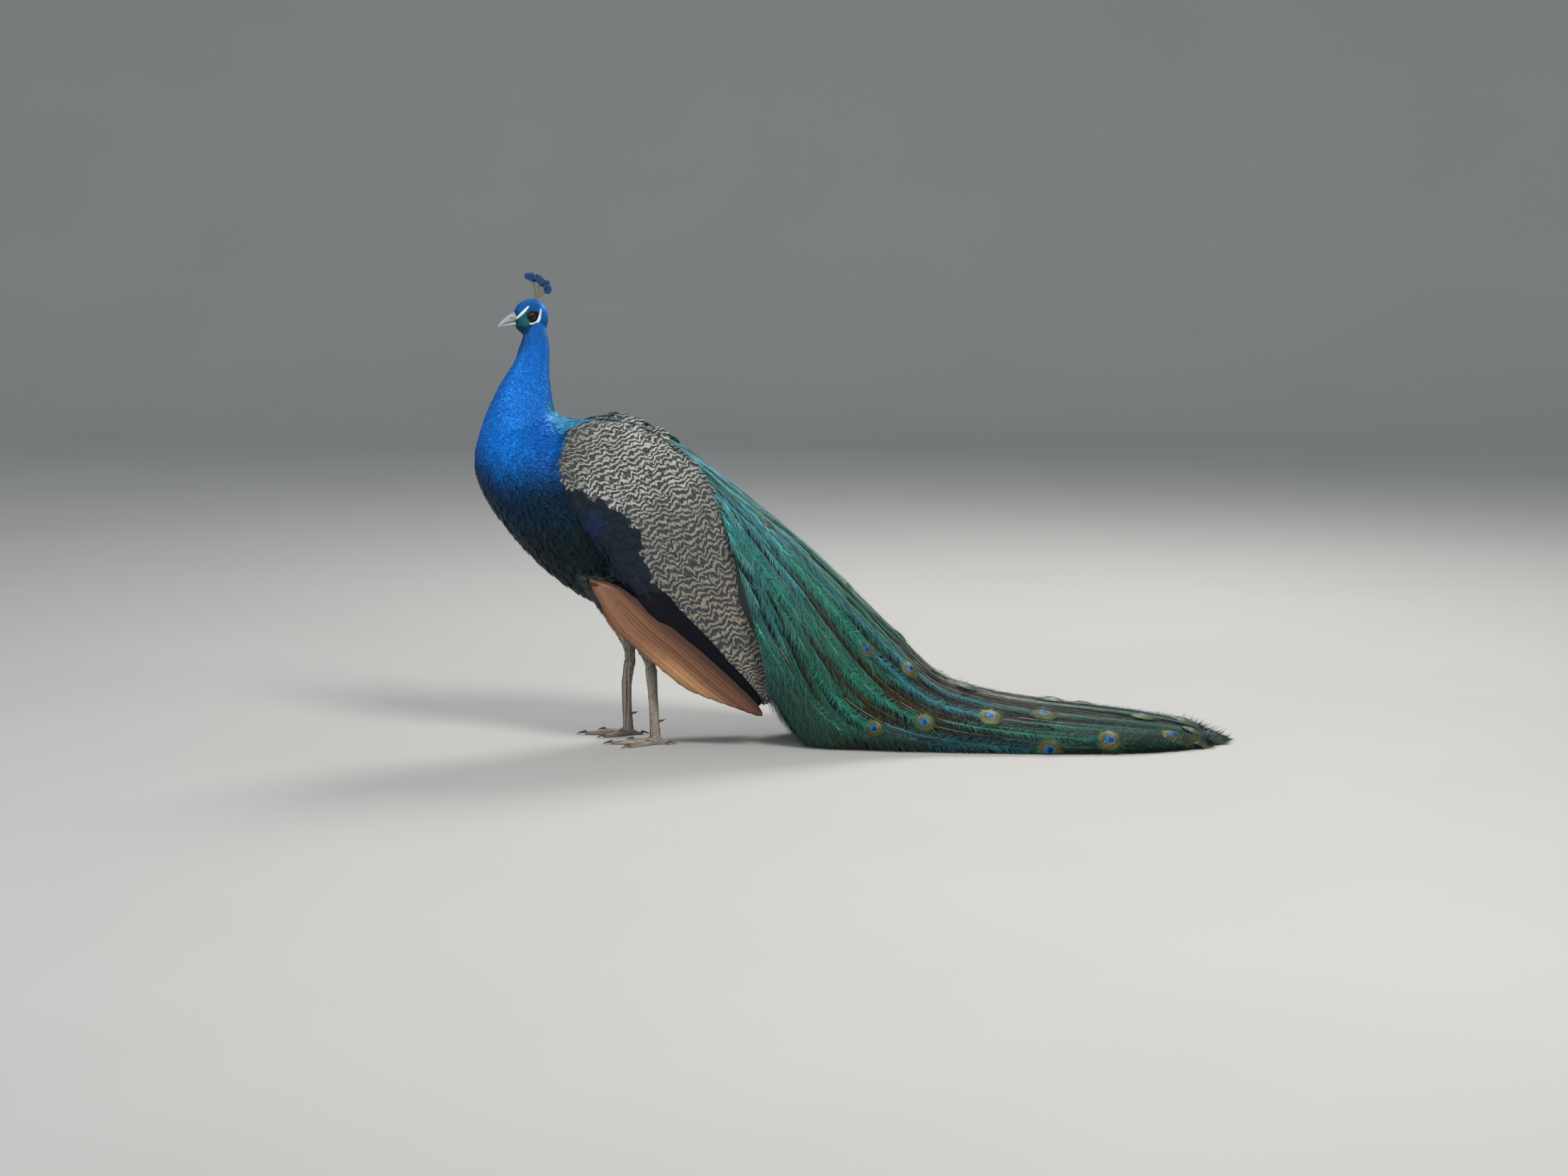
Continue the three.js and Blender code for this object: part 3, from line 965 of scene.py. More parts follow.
def horn_plate(name: str) -> Piece:
    """A scute: a domed shield that bends round the leg.

    Args:
        name: the object's name.

    Returns:
        The plate, lying along +Y with +Z outwards.
    """
    turns = np.linspace(-1, 1, 5)
    rows = ((0.0, 0.44, 0.0), (0.3, 0.5, 0.1), (0.75, 0.5, 0.16), (1.0, 0.4, 0.13), (1.06, 0.36, -0.02))
    points = [
        np.stack([turns * width, np.full(5, y), rise - 0.84 * (turns * width) ** 2], 1)
        for y, width, rise in rows
    ]
    return sheet_object(name, np.array(points))


def eye_disc(name: str) -> Piece:
    """A ragged oval disc for the ringed end of a train feather.

    Args:
        name: the object's name.

    Returns:
        The disc, lying along +Y with +Z outwards.
    """
    spokes, rings = 20, (0.0, 0.36, 0.72, 1.0)
    points, faces = [(0.0, 0.5, 0.05)], []
    for ring in rings[1:]:
        for k in range(spokes):
            turn = 2 * math.pi * k / spokes
            reach = 0.5 * ring * (1 + (0.11 * (k % 2) - 0.03 * (k % 3) if ring == 1.0 else 0))
            points.append((0.9 * reach * math.sin(turn), 0.5 + reach * math.cos(turn), 0.05 - 0.13 * ring**2))
    for k in range(spokes):
        after = (k + 1) % spokes
        faces.append((0, 1 + after, 1 + k))
        for r in range(len(rings) - 2):
            a, b = 1 + r * spokes, 1 + (r + 1) * spokes
            faces.append((a + k, a + after, b + after, b + k))
    made = new_object(name, np.array(points), faces)
    place = np.clip(np.array(points)[:, :2] + np.array([0.5, 0.0]), 0, 1)
    for label in ("OFBake", "Vane"):
        write_map(made.data, label, place)
    set_tint(made.data, np.ones((len(points), 3)))
    return made


class Planter:
    """Plants small shapes on seeds with a node tree and turns the result into plain meshes."""

    def __init__(self) -> None:
        """Make the shapes' collections and the tree."""
        shapes = {
            Shape.CONTOUR: [
                small_sheet("contour_a", [0.13, 0.4, 0.5, 0.4], [0.78, 0.95, 0.9, 1.0, 0.82], 0.05, 0.02),
                small_sheet("contour_b", [0.13, 0.42, 0.5, 0.36], [0.84, 0.92, 1.0, 0.9, 0.78], 0.06, 0.04),
                small_sheet("contour_c", [0.12, 0.38, 0.48, 0.42], [0.8, 1.0, 0.92, 0.97, 0.85], 0.04, 0.05),
            ],
            Shape.FINE: [
                small_sheet("fine_a", [0.16, 0.5, 0.46, 0.16], [0.9, 1.0, 0.94], 0.05, 0.02),
                small_sheet("fine_b", [0.14, 0.46, 0.5, 0.2], [0.96, 1.0, 0.88], 0.07, 0.04),
                small_sheet("fine_c", [0.15, 0.48, 0.42, 0.14], [0.88, 1.0, 0.96], 0.03, 0.05),
            ],
            Shape.BARB: [single_barb(f"barb_{k}", (-0.12, 0.02, 0.12)[k], 0.0, 4) for k in range(3)],
            Shape.HAIR: [single_barb(f"hair_{k}", 0.2 * (k - 1), 0.035 * (k - 1.5), 5) for k in range(3)],
            Shape.PLATE: [horn_plate("plate")],
            Shape.EYE: [eye_disc("eye_disc")],
        }
        self.collections = {}
        for shape, objects in shapes.items():
            collection = bpy.data.collections.new(shape.value)
            for item in objects:
                item.data.color_attributes.remove(item.data.color_attributes["tint"])
                bpy.context.scene.collection.objects.unlink(item)
                collection.objects.link(item)
            self.collections[shape] = collection
        self.tree = self.make_tree()

    @staticmethod
    def make_tree() -> bpy.types.NodeTree:
        """Build the planting tree, with named inputs for its sizes."""
        tree = bpy.data.node_groups.new("plant_feathers", "GeometryNodeTree")
        face = tree.interface
        face.new_socket("Geometry", in_out="INPUT", socket_type="NodeSocketGeometry")
        face.new_socket("Shapes", in_out="INPUT", socket_type="NodeSocketCollection")
        face.new_socket("Finish", in_out="INPUT", socket_type="NodeSocketMaterial")
        face.new_socket("Patch", in_out="INPUT", socket_type="NodeSocketFloat").default_value = BAKE_PATCH
        face.new_socket("Geometry", in_out="OUTPUT", socket_type="NodeSocketGeometry")

        def read(name: str, kind: str) -> Socket:
            """Read a named attribute."""
            node = tree.nodes.new("GeometryNodeInputNamedAttribute")
            node.data_type = kind
            node.inputs[0].default_value = name
            return next(s for s in node.outputs if s.enabled and s.name == "Attribute")

        def add(kind: str, inputs: dict[str | int, object], **settings: object) -> Socket | None:
            """Add a node with its settings, set or link its inputs, and return its first output."""
            node = tree.nodes.new(kind)
            for key, value in settings.items():
                setattr(node, key, value)
            for key, value in inputs.items():
                socket = node.inputs[key]
                if key == "Value":
                    socket = next(s for s in node.inputs if s.enabled and s.name == key)
                if isinstance(value, Socket):
                    tree.links.new(value, socket)
                else:
                    socket.default_value = value
            return next(iter(node.outputs), None)

        given = tree.nodes.new("NodeGroupInput").outputs
        turn, vector, store = (
            "FunctionNodeAlignRotationToVector",
            "ShaderNodeVectorMath",
            "GeometryNodeStoreNamedAttribute",
        )
        sources = {"Separate Children": True, "Reset Children": True, "Collection": given["Shapes"]}
        shapes = add("GeometryNodeCollectionInfo", sources, transform_space="ORIGINAL")
        lie = add(turn, {"Vector": read("lie", "FLOAT_VECTOR")}, axis="Y")
        turned = {"Rotation": lie, "Vector": read("facing", "FLOAT_VECTOR")}
        bed = {
            "Points": given["Geometry"],
            "Instance": shapes,
            "Pick Instance": True,
            "Instance Index": read("kind", "INT"),
            "Rotation": add(turn, turned, axis="Z", pivot_axis="Y"),
            "Scale": read("size", "FLOAT_VECTOR"),
        }
        planted = add("GeometryNodeInstanceOnPoints", bed)
        tint = {"Geometry": planted, "Name": "tint", "Value": read("seed_tint", "FLOAT_COLOR")}
        tinted = add(store, tint, data_type="FLOAT_COLOR", domain="INSTANCE")
        real = add("GeometryNodeRealizeInstances", {0: tinted})
        patch = add(vector, {0: read("Vane", "FLOAT_VECTOR"), "Scale": given["Patch"]}, operation="SCALE")
        place = add(vector, {0: patch, 1: read("root_uv", "FLOAT_VECTOR")}, operation="ADD")
        mapped = {"Geometry": real, "Name": "OFBake", "Value": place}
        mapped = add(store, mapped, data_type="FLOAT2", domain="CORNER")
        painted = add("GeometryNodeSetMaterial", {"Geometry": mapped, "Material": given["Finish"]})
        add("NodeGroupOutput", {0: painted})
        return tree

    def plant(
        self, name: str, seeds: Seeds, shape: Shape, material: Material, patch: float = BAKE_PATCH
    ) -> Piece:
        """Plant one shape on every seed.

        Args:
            name: the piece's name.
            seeds: the seeds, in the frame's metres.
            shape: what is planted.
            material: its material.
            patch: the side of each one's patch on the bake map.

        Returns:
            The joined plain mesh.
        """
        mesh = bpy.data.meshes.new(name + "_seeds")
        count = len(seeds.points)
        mesh.vertices.add(count)
        move(mesh, seeds.points)
        vectors = {"lie": seeds.lie, "facing": seeds.facing, "size": seeds.size}
        vectors["root_uv"] = np.concatenate([seeds.bake, np.zeros((count, 1))], 1)
        for label, values in vectors.items():
            keep_on_points(mesh, label, "FLOAT_VECTOR", values)
        keep_on_points(mesh, "seed_tint", "FLOAT_COLOR", np.concatenate([seeds.tint, np.ones((count, 1))], 1))
        keep_on_points(mesh, "kind", "INT", seeds.kind)
        bed = bpy.data.objects.new(name + "_seeds", mesh)
        bpy.context.scene.collection.objects.link(bed)
        modifier = bed.modifiers.new("plant", "NODES")
        modifier.node_group = self.tree
        sockets = {s.name: s.identifier for s in self.tree.interface.items_tree if s.in_out == "INPUT"}
        modifier[sockets["Shapes"]] = self.collections[shape]
        modifier[sockets["Finish"]] = material
        modifier[sockets["Patch"]] = patch
        made = evaluated_copy(bed, name)
        for extra in ("lie", "facing", "size", "seed_tint", "kind", "root_uv"):
            if extra in made.data.attributes:
                made.data.attributes.remove(made.data.attributes[extra])
        return made

    def clear(self) -> None:
        """Remove the shapes once all is planted."""
        for collection in self.collections.values():
            for item in list(collection.objects):
                bpy.data.objects.remove(item)
            bpy.data.collections.remove(collection)
        bpy.data.node_groups.remove(self.tree)


# ---- Skin ------------------------------------------------------------------------------------


class Region(Enum):
    """The parts of the skin, with the CAD nodes they come from."""

    HEAD = ("head",)
    NECK = ("neck",)
    TRUNK = ("trunk",)
    WING = ("wing_left", "wing_right")
    THIGH = ("thigh_left", "thigh_right")
    LEG = ("shank_left", "shank_right", "foot_left", "foot_right")

    @property
    def number(self) -> int:
        """The region's number in the label array."""
        return list(Region).index(self)

    def at(self, labels: Array) -> Array:
        """Which points lie in the region."""
        return labels == self.number


def copied_node(node: str) -> tuple[Array, Array]:
    """The merged points and triangles of a CAD node.

    Args:
        node: the node's name.

    Returns:
        Its points in metres and its triangles.
    """
    shape = bmesh.new()
    shape.from_mesh(frame["nodes"][node].data)
    bmesh.ops.remove_doubles(shape, verts=shape.verts, dist=1e-6)
    bmesh.ops.triangulate(shape, faces=shape.faces)
    shape.verts.ensure_lookup_table()
    points = np.array([v.co[:] for v in shape.verts])
    faces = np.array([[v.index for v in f.verts] for f in shape.faces])
    shape.free()
    return points, faces


def joined_nodes(name: str, nodes: list[str], swell: float = 0.0) -> Piece:
    """Join copies of CAD nodes into one object, a little swollen.

    Args:
        name: the object's name.
        nodes: the nodes to join.
        swell: millimetres that they stand out.

    Returns:
        The joined object.
    """
    all_points, all_faces, count = [], [], 0
    for node in nodes:
        points, faces = copied_node(node)
        a, b, c = (points[faces[:, k]] for k in range(3))
        normals = np.zeros_like(points)
        for k in range(3):
            np.add.at(normals, faces[:, k], np.cross(b - a, c - a))
        all_points.append(points + unit(normals) * swell * MM)
        all_faces.append(faces + count)
        count += len(points)
    return new_object(name, np.concatenate(all_points), np.concatenate(all_faces))


@dataclass
class Skin:
    """One closed skin for head, neck, trunk, wings, thighs, legs and feet."""

    bird: Anatomy
    voxel: float = 0.0028
    swell: float = 0.7  # millimetres that the flesh stands out before it is joined
    fine_reach: float = 47.0  # how far round the head the mesh is made finer
    coarse_share: float = 0.36  # how much of the hidden part of the mesh is kept

    def build(self) -> Piece:
        """Join, remesh, smooth and sink the skin, then shape the face."""
        self.nodes = [node for region in Region for node in region.value]
        self.piece = self.remeshed()
        self.smooth_and_sink()
        self.lighten()
        self.shape_face()
        self.read_back()
        self.paint()
        finish(self.piece, "body_feathers", SkinFinish("bird_skin", float(self.bird.shift[0])).build())
        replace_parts(self.piece, *self.nodes)
        return self.piece

    def remeshed(self) -> Piece:
        """Join swollen copies of the flesh nodes into one closed mesh."""
        body = joined_nodes("skin", self.nodes, self.swell)
        remesh = body.modifiers.new("remesh", "REMESH")
        remesh.mode = "VOXEL"
        remesh.voxel_size = self.voxel
        return evaluated_copy(body, "skin")

    def label(self, points: Array) -> Array:
        """The region that each point is nearest to.

        Args:
            points: places in the frame's metres.

        Returns:
            One region number for each point.
        """
        far = np.full(len(points), np.inf)
        labels = np.zeros(len(points), int)
        for region in Region:
            for node in region.value:
                corners, faces = copied_node(node)
                low, high = corners.min(0) - 0.03, corners.max(0) + 0.03
                near = np.flatnonzero(((points > low) & (points < high)).all(1))
                tree = BVHTree.FromPolygons(corners.tolist(), faces.tolist())
                distance = np.array([tree.find_nearest(Vector(points[i]))[3] for i in near])
                closer = distance < far[near]
                far[near[closer]] = distance[closer]
                labels[near[closer]] = region.number
        return labels

    @staticmethod
    def edges_of(mesh: Mesh) -> Array:
        """A mesh's edges as pairs of point numbers."""
        edges = np.empty(len(mesh.edges) * 2, np.int32)
        mesh.edges.foreach_get("vertices", edges)
        return edges.reshape(-1, 2)

    @staticmethod
    def smooth(values: Array, edges: Array, rate: Array | float, rounds: int) -> Array:
        """Draw each point's value towards the mean of its neighbours, some rounds long.

        Args:
            values: numbers or vectors at the points.
            edges: pairs of point numbers.
            rate: the share of the way in one round.
            rounds: how many rounds.

        Returns:
            The smoothed values.
        """
        count = np.zeros(len(values))
        np.add.at(count, edges.ravel(), 1)
        count = np.maximum(count, 1).reshape((-1,) + (1,) * (values.ndim - 1))
        for _ in range(rounds):
            total = np.zeros_like(values)
            for a, b in ((0, 1), (1, 0)):
                np.add.at(total, edges[:, a], values[edges[:, b]])
            values = values + (total / count - values) * rate
        return values

    def smooth_and_sink(self) -> None:
        """Soften the joints and sink the surface by the coat's depth."""
        mesh = self.piece.data
        points = points_of(mesh)
        self.labels = self.label(points)
        edges = self.edges_of(mesh)
        rate = np.where(Region.LEG.at(self.labels), 0.25, 0.5)
        local = self.bird.local(points)
        x, height = local[:, 0], local[:, 2]
        # The throat is full, and the flesh stands up round the eyes.
        throat = ease(height, 738, 768) * ease(height, 822, 796) * ease(x, -230, -244)
        head = self.bird.to_head(local)
        face = 1.6 - 1.2 * ease(np.hypot(head[:, 0], head[:, 2]), 22, 12) - 5.5 * throat
        body = 2.0 + 2.6 * ease(height, 770, 560) - 6.0 * throat
        depth = np.choose(self.labels, [face, body, body, 5.0, 6.0, -0.7])
        points = self.smooth(points, edges, rate[:, None], 9)
        depth = self.smooth(depth, edges, 0.7, 14)
        move(mesh, points)
        points = points - points_of(mesh, "normal") * depth[:, None] * MM
        points = self.smooth(points, edges, rate[:, None], 3)
        points[:, 2] = np.maximum(points[:, 2], 0.0002)
        move(mesh, points)

    def lighten(self) -> None:
        """Thin out the mesh where the coat hides it."""
        local = self.bird.local(points_of(self.piece.data))
        head = self.bird.to_head(local)
        hidden = (np.linalg.norm(head, axis=1) > self.fine_reach + 12) & (local[:, 2] > 175)
        hidden &= ~Region.LEG.at(self.labels)
        group = self.piece.vertex_groups.new(name="hidden")
        group.add(np.flatnonzero(hidden).tolist(), 1.0, "REPLACE")
        thin = self.piece.modifiers.new("thin", "DECIMATE")
        thin.ratio = self.coarse_share
        thin.vertex_group = "hidden"
        self.piece = evaluated_copy(self.piece, "skin")
        self.piece.vertex_groups.clear()

    def shape_face(self) -> None:
        """Make the head's mesh finer and press the eye sockets, lids and face folds into it."""
        shape = bmesh.new()
        shape.from_mesh(self.piece.data)
        self.divide(shape, lambda head: self.from_face(head) < self.fine_reach, 2)
        self.divide(
            shape,
            lambda head: (np.hypot(head[:, 0], head[:, 2]) < 14) & (np.abs(head[:, 1]) > 10),
            1,
        )
        shape.to_mesh(self.piece.data)
        shape.free()
        mesh = self.piece.data
        points = points_of(mesh)
        edges = self.edges_of(mesh)
        head = self.bird.to_head(self.bird.local(points))
        near = ease(self.from_face(head), self.fine_reach, self.fine_reach - 8)
        points = self.smooth(points, edges, near[:, None] * 0.5, 6)
        head = self.bird.to_head(self.bird.local(points))
        for side in (1, -1):
            head = self.press_eye(head, side)
        points = self.bird.place_in_head(head)
        move(mesh, points)

    @staticmethod
    def from_face(head: Array) -> Array:
        """How far each point is from the middle of the face."""
        return np.linalg.norm(head - np.array([4, 0, -2]), axis=1)

    def divide(self, shape: bmesh.types.BMesh, chosen: Callable[[Array], Array], cuts: int) -> None:
        """Cut the faces between chosen points into smaller ones.

        Args:
            shape: the mesh.
            chosen: picks points by their (forward, left, up) in the head.
            cuts: how often each edge is cut.
        """
        shape.verts.ensure_lookup_table()
        shape.verts.index_update()
        points = np.array([v.co[:] for v in shape.verts])
        near = chosen(self.bird.to_head(self.bird.local(points)))
        faces = [f for f in shape.faces if all(near[v.index] for v in f.verts)]
        edges = list({e for f in faces for e in f.edges})
        bmesh.ops.subdivide_edges(shape, edges=edges, cuts=cuts, use_grid_fill=True, smooth=0.0)
        bmesh.ops.triangulate(shape, faces=[f for f in shape.faces if len(f.verts) > 4])

    @staticmethod
    def press_eye(head: Array, side: int) -> Array:
        """Shape one eye's socket, opening and lids.

        Args:
            head: points as (forward, left, up).
            side: 1 for the left eye, -1 for the right.

        Returns:
            The moved points.
        """
        centre = np.array([0.0, EYE_OUT * side, 0.0])
        out = head[:, 1] * side
        reach = np.hypot(head[:, 0], head[:, 2])
        near = (reach < EYE_RADIUS + 6) & (out > EYE_OUT - 7)
        # The opening is an oval, a little longer than high; 1 is its edge.
        oval = np.hypot(head[:, 0] / 0.75, head[:, 2] / 0.67) / EYE_RADIUS
        ball = EYE_OUT + np.sqrt(np.maximum(EYE_RADIUS**2 - reach**2, 0))
        rim = 0.55 * np.exp(-(((oval - 1.13) / 0.11) ** 2))
        fold = 0.4 * np.exp(-(((oval - 1.45) / 0.09) ** 2)) + 0.25 * np.exp(-(((oval - 1.8) / 0.1) ** 2))
        lid = np.maximum(out, ball + 0.45) + rim - fold
        moved = head.copy()
        moved[:, 1] = lid * side
        arm = head - centre
        inside = centre + unit(arm) * (EYE_RADIUS - 2.2)
        moved = np.where((oval < 1)[:, None], inside, moved)
        return np.where(near[:, None], moved, head)

    def read_back(self) -> None:
        """Read the finished surface for planting and for the tracts."""
        mesh = self.piece.data
        mesh.calc_loop_triangles()
        self.points = points_of(mesh)
        self.normals = points_of(mesh, "normal")
        triangles = np.empty(len(mesh.loop_triangles) * 3, np.int32)
        mesh.loop_triangles.foreach_get("vertices", triangles)
        self.triangles = triangles.reshape(-1, 3)
        self.labels = self.label(self.points)
        self.tree = BVHTree.FromPolygons(self.points.tolist(), self.triangles.tolist())

    def paint(self) -> None:
        """Colour the skin as the coat over it, darkened as painted shade under the feathers, with the bare
        face and legs in their own colours.
        """
        local = self.bird.local(self.points)
        colours = Plumage(self.bird).colour(local, self.labels)
        # Painted shade: the skin under the feathers is darkened, most on the head, so gaps between feathers
        # read as shadow.
        under_coat_shade = np.choose(self.labels, [0.25, 0.35, 0.4, 0.8, 0.6, 1.0])
        white = Face.bare(self.bird.to_head(local)) * Region.HEAD.at(self.labels)
        set_tint(self.piece.data, mix(colours * under_coat_shade[:, None], (0.60, 0.65, 0.64), white))
        wing = Region.WING.at(self.labels) * Wings.barred_share(local)
        keep_on_points(self.piece.data, "barred", "FLOAT", wing)


class Face:
    """The bare white patches and the dark ring round the eye, in (forward, left, up)."""

    @staticmethod
    def bare(head: Array) -> Array:
        """How far a point is inside a white patch, from 0 to 1.

        Args:
            head: points as (forward, left, up).

        Returns:
            1 in a patch, 0 outside, and between at its edge.
        """
        f, u = head[:, 0], head[:, 2]
        side = ease(np.abs(head[:, 1]), 4.5, 7.5)
        # Stripe from the bill's root up over the front of the eye.
        s = np.clip(((f - 30) * (4 - 30) + (u + 5) * (18 + 5)) / (26.0**2 + 23.0**2), 0, 1)
        off = np.hypot(f - (30 - 26 * s), u - (-5 + 23 * s))
        stripe = ease(off - (0.7 + 1.9 * np.sin(math.pi * (0.1 + 0.8 * s))), 0.45, -0.45)
        # Crescent below and behind the eye, drawn out upwards at its back end.
        turn = np.degrees(np.arctan2(u, -f))
        middle = 15.8 + 6.5 * ease(turn, -5, 38)
        along = ease(turn, -124, -106) * ease(turn, 42, 26)
        half = 0.9 + 1.9 * np.sqrt(np.sin(math.pi * np.clip((turn + 118) / 158, 0, 1)))
        crescent = ease(np.abs(np.hypot(f, u) - middle) - half, 0.45, -0.45) * along
        return np.maximum(stripe, crescent) * side

    @staticmethod
    def eye_ring(head: Array) -> Array:
        """How far a point is inside the dark ring round the eye, wider towards the crescent."""
        side = ease(np.abs(head[:, 1]), 6, 9)
        turn = np.degrees(np.arctan2(head[:, 2], -head[:, 0]))
        reach = 10.0 + 3.0 * ease(np.abs(turn + 40), 110, 70)
        return ease(np.hypot(head[:, 0], head[:, 2]) - reach, 0.7, -0.7) * side


@dataclass
class Plumage:
    """The colours of the coat over the body, as functions of place, with painted shade on the throat and the
    breast's front edge.
    """

    bird: Anatomy
    crown: Colour = (0.006, 0.155, 0.55)
    nape: Colour = (0.004, 0.175, 0.70)
    neck: Colour = (0.001, 0.185, 0.70)
    violet: Colour = (0.003, 0.092, 0.44)
    eye_ring: Colour = (0.010, 0.006, 0.008)
    lores: Colour = (0.012, 0.15, 0.17)
    # Painted shadow: the dark throat and chin colour stands for shade under the head.
    throat: Colour = (0.004, 0.040, 0.115)
    breast: Colour = (0.002, 0.021, 0.052)
    belly: Colour = (0.006, 0.017, 0.021)
    mantle: Colour = (0.018, 0.215, 0.38)
    rump: Colour = (0.030, 0.23, 0.23)
    thigh: Colour = (0.42, 0.25, 0.13)
    hock: Colour = (0.28, 0.26, 0.19)
    leg: Colour = (0.26, 0.22, 0.17)

    @staticmethod
    def above_mantle(local: Array) -> Array:
        """Millimetres above the lower edge of the teal back."""
        edge_x = [-232, -205, -180, -150, -60, 0, 120]
        return local[:, 2] - np.interp(local[:, 0], edge_x, [672, 640, 616, 604, 596, 560, 470])

    def colour(self, local: Array, labels: Array) -> Array:
        """The coat's colour at each point.

        Args:
            local: points in the bird's millimetres.
            labels: the region numbers.

        Returns:
            One colour for each point.
        """
        x, z = local[:, 0], local[:, 2]
        # The neck is brightest along its middle and nape, darker where shade is painted on the throat and the
        # front edge, and darkens down the breast.
        back = ease(x, -285, -200)
        blue = mix(self.neck, self.nape, 0.8 * back * ease(z, 660, 780))
        blue = mix(blue, self.violet, 0.5 * back * ease(z, 720, 650))
        blue = mix(blue, self.crown, 0.75 * ease(z, 768, 800))
        # Painted shadow on the upper throat, just below the head.
        throat_shadow = ease(z, 752, 792) * ease(x, -222, -246)
        blue = mix(blue, self.throat, 0.75 * throat_shadow)
        # Painted shade: along the breast's front edge the blue gives way to dark higher up.
        front = ease(x, -285, -345)
        drop = z - 46 * front - 0.1 * (x + 250)
        body = mix(blue, self.breast, ease(drop, 604, 486))
        body = mix(body, self.belly, ease(drop, 480, 400))
        mantle = ease(self.above_mantle(local), -14, 10) * ease(x, -212, -192)
        mantle = mantle * np.maximum(ease(z, 686, 662), ease(x, -170, -150))
        body = mix(body, mix(self.mantle, self.rump, ease(x, -120, 10)), mantle)
        head = self.bird.to_head(local)
        # Painted shadow: below a line under the eye the face takes the dark throat colour, above it the
        # crown's blue.
        face = mix(self.throat, self.crown, ease(head[:, 2] - 0.35 * head[:, 0], -14, 2))
        lores = ease(head[:, 0], 2, 9) * ease(head[:, 2] + 0.9 * head[:, 0], 24, 15)
        lores = lores * ease(head[:, 2], -21, -14)
        face = mix(face, self.lores, lores)
        face = mix(face, body, ease(z, 806, 784))
        face = mix(face, self.eye_ring, Face.eye_ring(head))
        flank = mix(self.thigh, self.hock, ease(z, 222, 188))
        flank = mix(flank, self.belly, ease(z - 0.5 * (x + 60), 262, 306))
        own = {
            Region.HEAD: face,
            Region.WING: Wings.ground(local),
            Region.THIGH: flank,
            Region.LEG: np.array(self.leg),
        }
        for region, colour in own.items():
            body = np.where(region.at(labels)[:, None], colour, body)
        return body


# ---- Body feathers ---------------------------------------------------------------------------


@dataclass
class Tract:
    """One kind of feather over some regions of the skin."""

    name: str
    slot: str
    regions: tuple[Region, ...]
    spacing: Callable[[Array], Array]  # millimetres between feathers, by place
    proportion: tuple[float, float]  # length and width as multiples of the spacing
    lift: float  # degrees that the tips stand off
    finish: VaneFinish | BarredFinish
    keep: Callable[[Array, Array], Array] | None = None
    shape: Shape = Shape.CONTOUR
    vary: float = 0.18
    seed: int = 1


